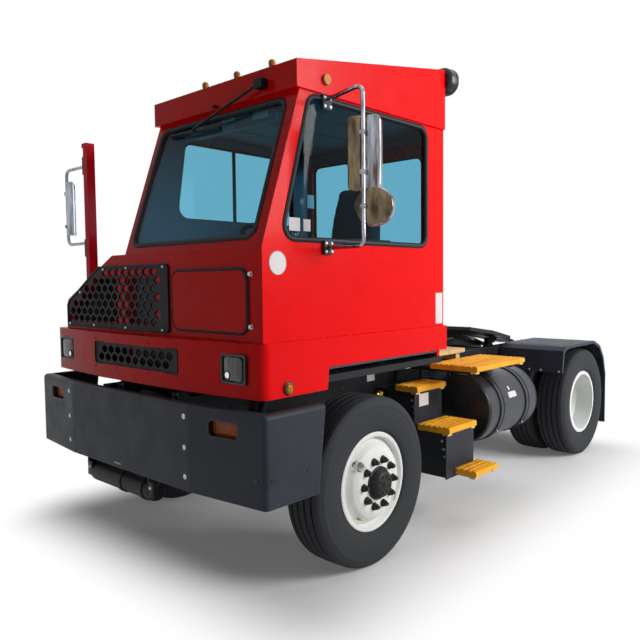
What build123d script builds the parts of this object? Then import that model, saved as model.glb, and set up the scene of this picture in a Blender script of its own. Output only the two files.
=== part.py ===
from build123d import *
import os
from math import atan, atan2, cos, degrees, pi, radians, sin

# Terminal tractor, 4x2, in millimetres.
# +X is the vehicle's left, +Y points to its rear, +Z is up.
# The origin is on the ground below the middle of the overall length.

os.makedirs("parts", exist_ok=True)

# ---------------------------------------------------------------- driving dimensions
overall_length = 5100.0
wheelbase = 3410.0
front_overhang = 1040.0

tyre_radius = 525.0
tyre_width = 280.0
tread_width = 232.0
bead_radius = 286.0
flange_radius = 304.0
front_track_half = 980.0
dual_outer_x = 940.0
dual_spacing = 330.0
disc_offset = 150.0

rail_half_width = 430.0
rail_height = 250.0
rail_flange = 80.0
rail_wall = 10.0
rail_top = 1090.0

fit = 0.3        # gap between a piece and the hole it sits in
pin_gap = 0.3    # radial gap at a pin
seat = 0.3       # gap between two pieces that rest on each other
past = 1.0       # how far a cut runs past the face it opens, and a joined piece sinks in

# stations along Y
front_y = -overall_length / 2
rear_y = overall_length / 2
axle_y = front_y + front_overhang
drive_y = axle_y + wheelbase
rail_bottom = rail_top - rail_height

# bumper
bumper_half = 1196.0
bumper_flat_half = 645.0
bumper_sweep = 60.0
bumper_bottom = 620.0
bumper_top = 1096.0
bumper_wall = 10.0
bumper_return_low = 380.0
bumper_return_high = 440.0
bumper_lip = 52.0
bumper_corner = 26.0
signal_x = 905.0
signal_width = 220.0
signal_height = 92.0
signal_z = 992.0
signal_depth = 26.0
signal_inset = 3.0

# cab tilt pin, in the slot between bumper and fascia
tilt_y = axle_y - 930.0
tilt_z = 1110.0
tilt_pin_radius = 11.0
tilt_lug_x = (-180.0, 410.0)

# cab
cab_left = 1104.0
hood_right = -985.0
cab_right = -190.0
fascia_bottom = 1147.0
fascia_top = 1436.0
fascia_front = axle_y - 975.0
fascia_corner_front = axle_y - 902.0
arch_front = axle_y - 420.0
skirt_bottom = 1272.0
cab_rear = axle_y + 817.0
front_face = axle_y - 885.0
sheet = 30.0
belt_z = 1930.0
screen_base_z = 1960.0
screen_top_z = 2766.0
screen_top_y = axle_y - 600.0
roof_front_z = 2909.0
roof_rear_z = 3166.0
roof_front_y = axle_y - 632.0
roof_wall = 30.0
floor_z = 1180.0
floor_thick = 40.0
hood_edge_x = -350.0
hood_low_z = 1640.0
hood_shoulder = 25.0
hood_drop = 40.0
hood_rear = axle_y + 480.0
hood_wall = 25.0

# windows
glass = 6.0
glass_set = 12.0
window_front_low = axle_y - 744.0
window_front_high = axle_y - 525.0
window_rear = axle_y + 590.0
window_low = 1976.0
window_high = 2741.0
window_round = 70.0
pane_round = 60.0
screen_margin_right = 62.0
screen_margin_left = 52.0
screen_margin_low = 24.0
screen_margin_high = 44.0

# rear door
door_width = 640.0
door_head = 66.0
door_x = 330.0
door_wall = 30.0
door_clear = 8.0
door_border = 70.0
sill = 12.0

# fifth wheel and its boom
boom_pivot_y = axle_y + 1960.0
boom_pivot_z = 1010.0
kingpin_y = axle_y + 2950.0
fifth_pivot_z = 1130.0
fifth_top = 62.0
fifth_half = 450.0
fifth_front = 430.0
fifth_rear = 470.0
fifth_thick = 34.0
fifth_rest_tilt = 12.0
kingpin_bore = 52.0
boom_tube = 45.0

# hydraulic cylinders
cylinder_pin = 13.0
ear_offset = 14.0
lift_x = 150.0
lift_eye_width = 40.0
lift_foot_y = axle_y + 2300.0
lift_foot_z = 870.0
lift_head_y = axle_y + 2720.0
lift_head_z = 1020.0
tilt_cylinder_x = 500.0
tilt_foot_y = axle_y - 500.0
tilt_foot_z = 600.0
tilt_head_y = axle_y - 300.0
tilt_head_z = 1118.0


# ---------------------------------------------------------------- helpers
def block(x0, x1, y0, y1, z0, z1):
    """Box between two corners."""
    middle = Pos((x0 + x1) / 2, (y0 + y1) / 2, (z0 + z1) / 2)
    return middle * Box(abs(x1 - x0), abs(y1 - y0), abs(z1 - z0))


def side_prism(points, x0, x1):
    """Outline in Y and Z, drawn out along X."""
    face = make_face(Polyline([(x0, y, z) for y, z in points], close=True))
    return extrude(face, amount=x1 - x0, dir=(1, 0, 0))


def front_prism(points, y0, y1):
    """Outline in X and Z, drawn out along Y."""
    face = make_face(Polyline([(x, y0, z) for x, z in points], close=True))
    return extrude(face, amount=y1 - y0, dir=(0, 1, 0))


def plan_prism(points, z0, z1):
    """Outline in X and Y, drawn out along Z."""
    face = make_face(Polyline([(x, y, z0) for x, y in points], close=True))
    return extrude(face, amount=z1 - z0, dir=(0, 0, 1))


def rod(a, b, radius):
    """Round bar from point a to point b."""
    a, b = Vector(*a), Vector(*b)
    along = b - a
    return extrude(Plane(a, z_dir=along) * Circle(radius), amount=along.length)


def tube(a, b, outer, inner):
    """Round tube from point a to point b."""
    a, b = Vector(*a), Vector(*b)
    along = b - a
    return extrude(Plane(a, z_dir=along) * (Circle(outer) - Circle(inner)), amount=along.length)


def cross_rod(x0, x1, y, z, radius):
    """Round bar along X."""
    return rod((min(x0, x1), y, z), (max(x0, x1), y, z), radius)


def upright(x, y, z0, z1, radius):
    """Round bar along Z."""
    return rod((x, y, min(z0, z1)), (x, y, max(z0, z1)), radius)


def bent_bar(points, radius, bend):
    """Round bar along straight runs with rounded corners."""
    path = FilletPolyline(*points, radius=bend)
    start = Plane(origin=path @ 0, z_dir=path % 0)
    return sweep(start * Circle(radius), path=path)


def spun_x(profile, x, y, z):
    """Outline of (x, radius) turned about an axle along X."""
    face = make_face(Polyline([(px, 0, r) for px, r in profile], close=True))
    return Pos(x, y, z) * revolve(face, axis=Axis.X)


def mirrored(solid):
    """The same piece on the vehicle's other side."""
    return mirror(solid, about=Plane.YZ)


def on_side(side, solid):
    """A piece drawn for the left side, on the side that is asked for."""
    return solid if side > 0 else mirrored(solid)


def rounded_window(points, x0, x1, radius):
    """Window cutter through a side wall, with rounded corners."""
    cutter = side_prism(points, x0, x1)
    return fillet(cutter.edges().filter_by(Axis.X), radius)


def rounded_block(x0, x1, y0, y1, z0, z1, radius):
    """Box whose corners are rounded as seen from the front."""
    return fillet(block(x0, x1, y0, y1, z0, z1).edges().filter_by(Axis.Y), radius)


def honeycomb(columns, rows, x0, z0, y0, y1):
    """Cutters for staggered six-sided holes, counted from a lower corner."""
    reach, half = hex_width / 2, hex_height / 2
    cutters = []
    for row in range(rows):
        for column in range(columns):
            x = x0 + hex_pitch * column + (hex_pitch / 2 if row % 2 else 0)
            z = z0 + hex_row * row
            corners = [(x, z + half), (x + reach, z + hex_flat / 2), (x + reach, z - hex_flat / 2),
                       (x, z - half), (x - reach, z - hex_flat / 2), (x - reach, z + hex_flat / 2)]
            cutters.append(front_prism(corners, y0, y1))
    return cutters


def save(name, *solids):
    """Write one node's solids to its file."""
    shapes = []
    for item in solids:
        shapes += list(item.solids())
    shape = shapes[0] if len(shapes) == 1 else Compound(children=shapes)
    export_step(shape, "parts/" + name + ".step")


# ---------------------------------------------------------------- frame
rail_start = front_y + 110.0
rail_inner = rail_half_width - rail_flange
rail_web_inner = rail_half_width - rail_wall
ramp_run = 420.0
ramp_drop = 130.0
skid_thick = 14.0
skid_wide = 50.0
cross_height = 120.0
cross_depth = 90.0
cross_cap = 20.0
cross_below = rail_wall + 12.0
cross_stations = (rail_start + 60.0, axle_y + 1420.0, boom_pivot_y - 160.0, rear_y - 60.0)


def rail():
    """C-section rail with its rear end ramped down."""
    body = block(rail_inner, rail_half_width, rail_start, rear_y, rail_bottom, rail_top)
    hollow = block(rail_inner - past, rail_web_inner, rail_start - past, rear_y + past,
                   rail_bottom + rail_wall, rail_top - rail_wall)
    ramp = side_prism([(rear_y - ramp_run, rail_top), (rear_y + past, rail_top + past),
                       (rear_y + past, rail_top - ramp_drop)], rail_inner - past, rail_half_width + past)
    skid = side_prism([(rear_y - ramp_run, rail_top), (rear_y - ramp_run, rail_top - skid_thick),
                       (rear_y, rail_top - ramp_drop - skid_thick), (rear_y, rail_top - ramp_drop)],
                      rail_inner - skid_wide, rail_half_width + rail_wall)
    return body - hollow - ramp + skid


def cross_member(y):
    """Channel between the rails, open to the rear."""
    top = rail_top - cross_below
    if y > rear_y - ramp_run:
        top -= ramp_drop
    beam = block(-rail_web_inner, rail_web_inner, y - cross_depth / 2, y + cross_depth / 2,
                 top - cross_height, top)
    core = block(-rail_web_inner + cross_cap, rail_web_inner - cross_cap, y - cross_depth / 2 + rail_wall,
                 y + cross_depth, top - cross_height + rail_wall, top - rail_wall)
    return beam - core


frame = rail() + mirrored(rail())
for station in cross_stations:
    frame += cross_member(station)

# lugs that carry the cab's tilt pin
lug_gap = 34.0
lug_plate = 12.0
lug_front = rail_start + 15.0
lug_back = rail_start + 105.0
lug_nose = 18.0
beam_top = rail_top - cross_below
for x in tilt_lug_x:
    for side in (-1, 1):
        middle = x + side * (lug_gap + lug_plate) / 2
        plate = side_prism([(lug_front, beam_top - 30), (lug_back, beam_top - 30), (lug_back, beam_top + 8),
                            (tilt_y + 20, tilt_z + lug_nose), (tilt_y - lug_nose, tilt_z + lug_nose),
                            (tilt_y - lug_nose, tilt_z - 24), (lug_front, tilt_z - 60)],
                           middle - lug_plate / 2, middle + lug_plate / 2)
        frame += plate - cross_rod(middle - lug_plate, middle + lug_plate, tilt_y, tilt_z,
                                   tilt_pin_radius + pin_gap)

# bearings for the boom's pivot tube
bearing_wall = 16.0
bearing_length = 40.0
for side in (-1, 1):
    x0, x1 = sorted((side * (rail_web_inner - bearing_length), side * (rail_web_inner + past)))
    frame += tube((x0, boom_pivot_y, boom_pivot_z), (x1, boom_pivot_y, boom_pivot_z),
                  boom_tube + bearing_wall, boom_tube + pin_gap)

# beam, ears and pins at the feet of the lift cylinders
frame += block(-rail_web_inner, rail_web_inner, lift_foot_y - 90, lift_foot_y - 40, rail_bottom + 10,
               rail_bottom + 90)
for side in (-1, 1):
    for edge in (-1, 1):
        x = side * lift_x + edge * (lift_eye_width / 2 + ear_offset)
        frame += block(x - 8, x + 8, lift_foot_y - 60, lift_foot_y + 10, lift_foot_z - 30, lift_foot_z + 20)
    frame += cross_rod(side * lift_x - lift_eye_width / 2 - 20, side * lift_x + lift_eye_width / 2 + 20,
                       lift_foot_y, lift_foot_z, cylinder_pin)

# bracket and pin at the foot of the cab's tilt cylinder
frame += block(rail_half_width - past, rail_half_width + 14, tilt_foot_y - 70, tilt_foot_y + 70,
               tilt_foot_z - 40, rail_top - 100)
frame += cross_rod(rail_half_width, tilt_cylinder_x + 34, tilt_foot_y, tilt_foot_z, cylinder_pin)
save("frame_rails", frame)

# ---------------------------------------------------------------- bumper
sweep_y = front_y + bumper_sweep
return_y = sweep_y + bumper_return_high
return_past = 50.0


def bumper_outline(inset, back):
    """Plan of the bumper: flat in the middle, swept back to the corners."""
    half = bumper_half - inset
    return [(-half, back), (-half, sweep_y + inset), (-bumper_flat_half, front_y + inset),
            (bumper_flat_half, front_y + inset), (half, sweep_y + inset), (half, back)]


bumper = plan_prism(bumper_outline(0, return_y), bumper_bottom, bumper_top)
corner_edges = [e for e in bumper.edges().filter_by(Axis.Z) if e.center().Y < sweep_y + 5]
bumper = fillet(corner_edges, bumper_corner)
top_edges = [e for e in bumper.edges().group_by(Axis.Z)[-1] if e.center().Y < return_y - 5]
bumper = fillet(top_edges, bumper_corner)
bumper -= plan_prism(bumper_outline(bumper_wall, return_y + return_past), bumper_bottom - past,
                     bumper_top - bumper_wall)
bumper -= plan_prism(bumper_outline(bumper_lip, return_y + return_past), bumper_bottom - past,
                     bumper_top + past)
bumper -= side_prism([(sweep_y + bumper_return_low, bumper_bottom - past), (return_y, bumper_top + past),
                      (return_y + return_past, bumper_top + past), (return_y + return_past,
                                                                    bumper_bottom - past)],
                     -bumper_half - past, bumper_half + past)

sweep_angle = degrees(atan2(bumper_sweep, bumper_half - bumper_flat_half))
signal_y = front_y + bumper_sweep * (signal_x - bumper_flat_half) / (bumper_half - bumper_flat_half)
signals = []
for side in (-1, 1):
    place = Pos(side * signal_x, signal_y, signal_z) * Rot(0, 0, side * sweep_angle)
    hole = Box(signal_width, 4 * bumper_wall + signal_depth, signal_height)
    bumper -= place * fillet(hole.edges().filter_by(Axis.Y), signal_height / 3)
    lens = Box(signal_width - 2 * fit, signal_depth, signal_height - 2 * fit)
    lens = fillet(lens.edges().filter_by(Axis.Y), signal_height / 3 - fit)
    signals.append(place * Pos(0, signal_depth / 2 + signal_inset, 0) * lens)

# brackets from the bumper plate to the rails, and stiffeners behind the bolts
arm_wall = 12.0
arm_x = rail_half_width + seat
arm_top = rail_top - 64.0
arm_bottom = rail_bottom + 20.0
plate_back = front_y + bumper_wall - past
rib_x = bumper_flat_half - 30.0
for side in (-1, 1):
    arm = block(arm_x, arm_x + arm_wall, plate_back, rail_start + 150, arm_bottom, arm_top)
    rib = block(rib_x, rib_x + arm_wall, plate_back, plate_back + 60, bumper_bottom + 20, bumper_top - 60)
    bumper += on_side(side, arm) + on_side(side, rib)
save("front_bumper", bumper)
save("bumper_signals", *signals)

# ---------------------------------------------------------------- front axle and springs
axle_z = tyre_radius
kingpin_x = 800.0
kingpin_radius = 20.0
boss_radius = 42.0
boss_height = 120.0
beam_depth = 90.0
beam_drop = 60.0
beam_height = 90.0
beam_web = 24.0
beam_flange = 19.0
beam_bend_low = 560.0
beam_bend_high = 540.0
spring_x = 390.0
spring_width = 76.0
spring_half = 620.0
spring_eye_z = 735.0
spring_low_z = 600.0
spring_eye_radius = 26.0
leaf_thick = 14.0
leaf_count = 4
leaf_step = 0.2
clamp_half = 70.0
damper_radius = 30.0
damper_gap = 48.0

beam_z = axle_z - beam_drop
beam_profile = [(-kingpin_x, axle_z + beam_height / 2), (-kingpin_x, axle_z - beam_height / 2),
                (-beam_bend_low, beam_z - beam_height / 2), (beam_bend_low, beam_z - beam_height / 2),
                (kingpin_x, axle_z - beam_height / 2), (kingpin_x, axle_z + beam_height / 2),
                (beam_bend_high, beam_z + beam_height / 2), (-beam_bend_high, beam_z + beam_height / 2)]
front_axle = front_prism(beam_profile, axle_y - beam_depth / 2, axle_y + beam_depth / 2)
web_high = beam_height / 2 - beam_flange
web_cut = block(-beam_bend_high, beam_bend_high, axle_y + beam_web / 2, axle_y + beam_depth,
                beam_z - web_high, beam_z + web_high)
front_axle -= web_cut
front_axle -= mirror(web_cut, about=Plane((0, axle_y, 0), z_dir=(0, 1, 0)))
for x in (-kingpin_x, kingpin_x):
    front_axle += upright(x, axle_y, axle_z - boss_height / 2, axle_z + boss_height / 2, boss_radius)
    front_axle -= upright(x, axle_y, axle_z - boss_height, axle_z + boss_height, kingpin_radius + pin_gap)


def spring_pack():
    """Left leaf spring on the axle, with its hanger, shackle, clamp and damper."""
    x0, x1 = spring_x - spring_width / 2, spring_x + spring_width / 2
    rise = spring_eye_z - spring_low_z
    radius = (spring_half ** 2 + rise ** 2) / (2 * rise)
    centre = Pos(spring_x, axle_y, spring_low_z + radius) * Rot(0, 90, 0)
    pack = None
    for leaf in range(leaf_count):
        reach = spring_half * (1 - leaf * leaf_step)
        outer = radius + leaf_thick * (leaf + 1)
        inner = outer - leaf_thick - (past if leaf else 0)
        ring = centre * (Cylinder(outer, spring_width) - Cylinder(inner, spring_width))
        piece = ring & block(x0, x1, axle_y - reach, axle_y + reach, spring_low_z - 80, spring_eye_z + 20)
        pack = piece if pack is None else pack + piece
    eye_y = spring_half - 6
    for end in (-1, 1):
        pack += cross_rod(x0, x1, axle_y + end * eye_y, spring_eye_z + 8, spring_eye_radius)
    # hanger in front, shackle behind, both up to the rail
    for end, near, far in ((-1, -70, 40), (1, -60, 50)):
        hang = [(axle_y + end * (spring_half + far), rail_bottom - seat),
                (axle_y + end * (spring_half + near), rail_bottom - seat),
                (axle_y + end * (spring_half - 34), spring_eye_z - 12),
                (axle_y + end * (spring_half + 24), spring_eye_z - 12)]
        pack += side_prism(hang, x0, x1)
    clamp_top = spring_low_z + leaf_thick + 10
    pack += block(x0 - 14, x1 + 14, axle_y - clamp_half, axle_y + clamp_half, beam_z + beam_height / 2 - 2,
                  clamp_top)
    damper_x = x1 + damper_gap
    damper_head = (damper_x, axle_y + 150, rail_bottom + 60)
    pack += rod((damper_x, axle_y + 10, beam_z + 20), damper_head, damper_radius)
    pack += cross_rod(rail_half_width + seat, damper_x, damper_head[1], damper_head[2] - 14, 16)
    return pack


for side in (-1, 1):
    front_axle += on_side(side, spring_pack())
save("front_axle", front_axle)

# ---------------------------------------------------------------- knuckles and tie rod
spindle_root = 870.0
spindle_end = front_track_half + 120.0
spindle_radius = 34.0
knuckle_radius = 92.0
ear_gap = 2.0
ear_height = 36.0
ear_half = 38.0
steer_arm = 215.0
steer_arm_x = 752.0
steer_arm_z = axle_z - boss_height / 2 - ear_gap - ear_height / 2
steer_arm_radius = 17.0
arm_boss_low = 26.0
arm_boss_high = 18.0
arm_boss_radius = 24.0
tie_boss = 22.0
tie_boss_radius = 26.0
tie_z = steer_arm_z - arm_boss_low - tie_boss - seat
tie_radius = 17.0
tie_overhang = 20.0


def knuckle():
    """Left steering knuckle: ears round the axle's end, spindle, kingpin and arm."""
    body = cross_rod(kingpin_x + boss_radius + 4, spindle_root, axle_y, axle_z, knuckle_radius)
    for end in (-1, 1):
        z0 = axle_z + end * (boss_height / 2 + ear_gap)
        z1 = z0 + end * ear_height
        body += upright(kingpin_x, axle_y, z0, z1, boss_radius)
        body += block(kingpin_x, spindle_root, axle_y - ear_half, axle_y + ear_half, z0, z1)
    pin_reach = boss_height / 2 + ear_height + 6
    body += upright(kingpin_x, axle_y, axle_z - pin_reach, axle_z + pin_reach, kingpin_radius)
    body += cross_rod(spindle_root, spindle_end, axle_y, axle_z, spindle_radius)
    arm_end_y = axle_y + steer_arm
    body += rod((kingpin_x, axle_y + 20, steer_arm_z), (steer_arm_x, arm_end_y, steer_arm_z),
                steer_arm_radius)
    body += upright(steer_arm_x, arm_end_y, steer_arm_z - arm_boss_low, steer_arm_z + arm_boss_high,
                    arm_boss_radius)
    return body


save("knuckle_left", knuckle())
save("knuckle_right", mirrored(knuckle()))

tie_y = axle_y + steer_arm
tie_rod = cross_rod(-steer_arm_x - tie_overhang, steer_arm_x + tie_overhang, tie_y, tie_z, tie_radius)
for x in (-steer_arm_x, steer_arm_x):
    tie_rod += upright(x, tie_y, tie_z - tie_boss, tie_z + tie_boss, tie_boss_radius)
save("tie_rod", tie_rod)

# ---------------------------------------------------------------- wheels
rim_half = 118.0
rim_wall = 12.0
rim_seat = 14.0
barrel_radius = bead_radius - rim_wall
stud_circle = 142.0
stud_count = 10
stud_radius = 11.0
nut_radius = 17.0
stud_tip = 16.0
hub_bore_radius = spindle_radius + pin_gap
hand_hole_radius = 33.0
hand_hole_circle = 208.0
hand_hole_count = 2
hand_hole_angle = 52.0
disc_wall = 12.0
drum_radius = 208.0
drum_inner = 150.0
rear_stub_radius = 56.0


def tyre(x):
    """Rubber ring on the bead seat, with rounded shoulders and bulged walls."""
    half, tread = tyre_width / 2, tread_width / 2
    inner = bead_radius + fit
    bead = rim_half - rim_seat - fit
    heel = flange_radius + 4
    waist = (heel + tyre_radius) / 2 - 14
    crown = tread - 26
    crown_z, edge_z = tyre_radius - 4, tyre_radius - 20
    with BuildSketch(Plane.XY) as section:
        with BuildLine():
            Line((-bead, inner), (bead, inner))
            Line((bead, inner), (bead, heel))
            Spline((bead, heel), (half, waist), (tread, edge_z), tangents=((1, 0.7), (-0.35, 1)))
            Spline((tread, edge_z), (crown, crown_z), tangents=((-0.35, 1), (-1, 0.08)))
            ThreePointArc((crown, crown_z), (0, tyre_radius), (-crown, crown_z))
            Spline((-crown, crown_z), (-tread, edge_z), tangents=((-1, -0.08), (-0.35, -1)))
            Spline((-tread, edge_z), (-half, waist), (-bead, heel), tangents=((-0.35, -1), (1, -0.7)))
            Line((-bead, heel), (-bead, inner))
        make_face()
    return Pos(x, 0, tyre_radius) * revolve(section.sketch, axis=Axis.X)


def rim(x, disc_side):
    """Rim barrel with its flanges and its dished disc; disc_side says where the disc sits."""
    r0, r1 = barrel_radius, bead_radius
    low_edge = flange_radius - 8
    barrel = spun_x([(-rim_half, r0), (-rim_half, low_edge), (-rim_half + 4, flange_radius),
                     (-rim_half + rim_seat - 2, flange_radius), (-rim_half + rim_seat, r1),
                     (rim_half - rim_seat, r1), (rim_half - rim_seat + 2, flange_radius),
                     (rim_half - 4, flange_radius), (rim_half, low_edge), (rim_half, r0)], x, 0, tyre_radius)
    root = disc_side * (rim_half - 40)
    face = disc_side * disc_offset
    disc = spun_x([(root, r0 + past), (root - disc_side * 30, r0 + past), (root - disc_side * 22, r0 - 16),
                   (face - disc_side * 34, 214), (face - disc_side * disc_wall, 176),
                   (face - disc_side * disc_wall, 70), (face, 70), (face, 180),
                   (face - disc_side * 20, 222), (root - disc_side * 6, r0 - 8)], x, 0, tyre_radius)
    whole = barrel + disc
    for k in range(hand_hole_count):
        angle = radians(hand_hole_angle) + k * 2 * pi / hand_hole_count
        y, z = hand_hole_circle * cos(angle), tyre_radius + hand_hole_circle * sin(angle)
        whole -= cross_rod(x - 2 * rim_half, x + 2 * rim_half, y, z, hand_hole_radius)
    return whole


def studs(x0, x1):
    """Left wheel's studs with their nuts, in a ring."""
    ring = None
    for k in range(stud_count):
        angle = 2 * pi * k / stud_count
        y, z = stud_circle * cos(angle), tyre_radius + stud_circle * sin(angle)
        nut = cross_rod(x0, x1, y, z, nut_radius) + cross_rod(x0, x1 + stud_tip, y, z, stud_radius)
        ring = nut if ring is None else ring + nut
    return ring


def front_wheel():
    """Left front rim with its hub, drum and studs."""
    face = front_track_half + disc_offset
    wheel = rim(front_track_half, 1)
    hub = [(face - 252, 0), (face - 252, 95), (face - 175, 95), (face - 160, 118), (face - 14, 118),
           (face - disc_wall, 100), (face + 20, 84), (face + 44, 74), (face + 50, 62), (face + 50, 0)]
    drum = [(face - 238, drum_inner), (face - 238, drum_radius), (face - 60, drum_radius), (face - 40, 180),
            (face - disc_wall, 180), (face - disc_wall, 100), (face - 40, 100), (face - 60, drum_inner)]
    wheel += spun_x(hub, 0, 0, tyre_radius) + spun_x(drum, 0, 0, tyre_radius) + studs(face - 2, face + 20)
    wheel -= cross_rod(kingpin_x - 60, spindle_end + 4, 0, tyre_radius, hub_bore_radius)
    wheel -= cross_rod(kingpin_x - 60, spindle_root + 6, 0, tyre_radius, knuckle_radius + 38)
    return Pos(0, axle_y, 0) * wheel


def rear_wheel():
    """Left rear pair of rims with their hub, drum and studs."""
    meet = dual_outer_x - disc_offset
    wheel = rim(dual_outer_x, -1) + rim(dual_outer_x - dual_spacing, 1)
    hub = [(meet - 240, 0), (meet - 240, 96), (meet - 40, 110), (meet - 18, 168), (meet + 16, 168),
           (meet + 18, 112),
           (meet + 92, 104), (meet + 96, 92), (meet + 118, 86), (meet + 122, 74), (meet + 122, 0)]
    drum = [(meet - 230, drum_inner), (meet - 230, drum_radius), (meet - 90, drum_radius), (meet - 70, 170),
            (meet - 20, 170), (meet - 20, 100), (meet - 80, 100), (meet - 90, drum_inner)]
    wheel += spun_x(hub, 0, 0, tyre_radius) + spun_x(drum, 0, 0, tyre_radius) + studs(meet + 8, meet + 36)
    wheel -= cross_rod(meet - 490, meet - 60, 0, tyre_radius, rear_stub_radius + pin_gap)
    return Pos(0, drive_y, 0) * wheel


for side, word in ((1, "left"), (-1, "right")):
    save("rim_front_" + word, on_side(side, front_wheel()))
    save("tyre_front_" + word, Pos(0, axle_y, 0) * tyre(side * front_track_half))
    save("rim_rear_" + word, on_side(side, rear_wheel()))
    save("tyre_rear_" + word, Pos(0, drive_y, 0) * tyre(side * dual_outer_x),
         Pos(0, drive_y, 0) * tyre(side * (dual_outer_x - dual_spacing)))

# ---------------------------------------------------------------- rear axle and driveshaft
housing_radius = 82.0
bowl_radius = 205.0
bowl_half = 120.0
pad_half_length = 150.0
pad_half_width = 45.0
driveshaft_radius = 50.0
flange_wall = 12.0
pinion_radius = 90.0
gearbox_end_y = axle_y + 1240.0
gearbox_z = 790.0
pinion_y = drive_y - 430.0
drive_z = tyre_radius
stub_start = 470.0
stub_end = dual_outer_x - disc_offset - 66.0
rear_axle = spun_x([(-stub_start, 0), (-stub_start, housing_radius), (-250, housing_radius), (-190, 120),
                    (-bowl_half, bowl_radius), (bowl_half, bowl_radius), (190, 120), (250, housing_radius),
                    (stub_start, housing_radius), (stub_start, 0)], 0, drive_y, drive_z)
rear_axle += rod((0, drive_y, drive_z), (0, pinion_y, drive_z), pinion_radius)
rear_axle += rod((0, pinion_y, drive_z), (0, pinion_y - 40, drive_z), pinion_radius - 20)
rear_axle += rod((0, pinion_y + 10, drive_z), (0, gearbox_end_y + 34, gearbox_z), driveshaft_radius)
rear_axle += rod((0, gearbox_end_y + seat, gearbox_z), (0, gearbox_end_y + 44, gearbox_z),
                 driveshaft_radius + flange_wall)
pad_x = rail_half_width - rail_flange / 2
for side in (-1, 1):
    rear_axle += cross_rod(side * (stub_start - 10), side * stub_end, drive_y, drive_z, rear_stub_radius)
    rear_axle += block(side * pad_x - pad_half_width, side * pad_x + pad_half_width,
                       drive_y - pad_half_length, drive_y + pad_half_length, drive_z + 40, rail_bottom - seat)
save("rear_axle", rear_axle)

# ---------------------------------------------------------------- engine, gearbox, radiator
engine_half = 300.0
engine_front = axle_y - 450.0
engine_back = axle_y + 600.0
engine_low = 625.0
engine_mid = 1118.0
engine_top = 1600.0
engine_right = -700.0
engine_left = cab_right - 60.0
gearbox_half = 190.0
mount_half = 40.0
radiator_y = axle_y - 800.0
radiator_back = radiator_y + 80.0
radiator_low = 1128.0
radiator_right = -930.0
radiator_left = cab_right - 70.0
radiator_top = 1770.0
hose_radius = 32.0

engine = block(-engine_half, engine_half, engine_front, engine_back, engine_low, engine_mid)
engine += block(engine_right, engine_left, engine_front + 60, hood_rear - 100, rail_top + 20, engine_top)
engine += block(-gearbox_half, gearbox_half, engine_back - past, gearbox_end_y,
                gearbox_z - gearbox_half + 40, gearbox_z + gearbox_half)
for side in (-1, 1):
    for y in (engine_front + 120, engine_back - 160):
        engine += block(side * (engine_half - 5), side * (rail_web_inner - seat), y - mount_half,
                        y + mount_half,
                        rail_bottom + 60, rail_bottom + 150)
radiator = front_prism([(radiator_right, radiator_low), (radiator_left, radiator_low), (radiator_left,
                                                                                        radiator_top),
                        (radiator_right + 330, radiator_top), (radiator_right, radiator_top - 170)],
                       radiator_y, radiator_back)
radiator += block(radiator_right + 30, radiator_left, radiator_y, radiator_back, radiator_low - 30,
                  radiator_low + past)
radiator += block(-rail_half_width, -rail_inner, radiator_y, radiator_back, rail_top + seat, radiator_low)
hoses = None
for x, z in ((-500.0, engine_top - 100), (-400.0, radiator_low + 52)):
    hose = rod((x, radiator_back - 5, z), (x, engine_front + 70, z), hose_radius)
    hoses = hose if hoses is None else hoses + hose
save("engine_and_radiator", engine + radiator + hoses)

# ---------------------------------------------------------------- air tank under the bumper
air_radius = 74.0
air_z = 425.0
air_y = axle_y - 790.0
air_right, air_left = -790.0, -20.0
air_round = 40.0
air_strap = 20.0
air_strap_x = (-rail_half_width + 45, -130.0)
air_tank = cross_rod(air_right, air_left, air_y, air_z, air_radius)
air_tank = fillet(air_tank.edges().filter_by(GeomType.CIRCLE), air_round)
for x in air_strap_x:
    air_tank += cross_rod(x - air_strap, x + air_strap, air_y, air_z, air_radius + 7)
    air_tank += block(x - air_strap, x + air_strap, air_y - 5, air_y + 5, air_z + air_radius,
                      rail_bottom - seat)
save("air_tank", air_tank)

# ---------------------------------------------------------------- fuel tank
tank_radius = 270.0
tank_x = 880.0
tank_z = 740.0
tank_front = axle_y + 1360.0
tank_rear = axle_y + 2170.0
tank_rim = 14.0
tank_dish = 10.0
tank_strap = 52.0
strap_thick = 6.0
strap_inset = 190.0
cradle_wall = 12.0
filler_y = tank_front + 330.0
filler_x = tank_x + 60.0
filler_radius = 48.0
filler_rise = 34.0

tank = rod((tank_x, tank_front, tank_z), (tank_x, tank_rear, tank_z), tank_radius)
tank = fillet(tank.edges().filter_by(GeomType.CIRCLE), tank_rim)
# the heads sit a little inside the rolled rims
for y, inward in ((tank_front, 1), (tank_rear, -1)):
    head = rod((tank_x, y - inward * past, tank_z), (tank_x, y + inward * tank_dish, tank_z),
               tank_radius - 2 * tank_rim)
    tank -= head
for y in (tank_front + strap_inset, tank_rear - strap_inset):
    y0, y1 = y - tank_strap / 2, y + tank_strap / 2
    tank += rod((tank_x, y0, tank_z), (tank_x, y1, tank_z), tank_radius + strap_thick)
    tank += block(rail_half_width + seat, tank_x - 120, y0, y1, rail_bottom + 10, tank_z + 190)
    tank += block(rail_half_width + seat, rail_half_width + seat + cradle_wall, y - 60, y + 60,
                  rail_bottom + 5, rail_top - 60)
filler_low = tank_z + tank_radius - 30
filler_top = tank_z + tank_radius + filler_rise
tank += upright(filler_x, filler_y, filler_low, filler_top, filler_radius)
save("fuel_tank", tank)

# ---------------------------------------------------------------- steps and deck
tread_thick = 44.0
tread_nose = 12.0
rib_pitch = 46.0
groove_half = 8.0
groove_floor = 4.0
groove_depth = 6.0
riser_wall = 8.0
side_wall = 10.0
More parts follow.
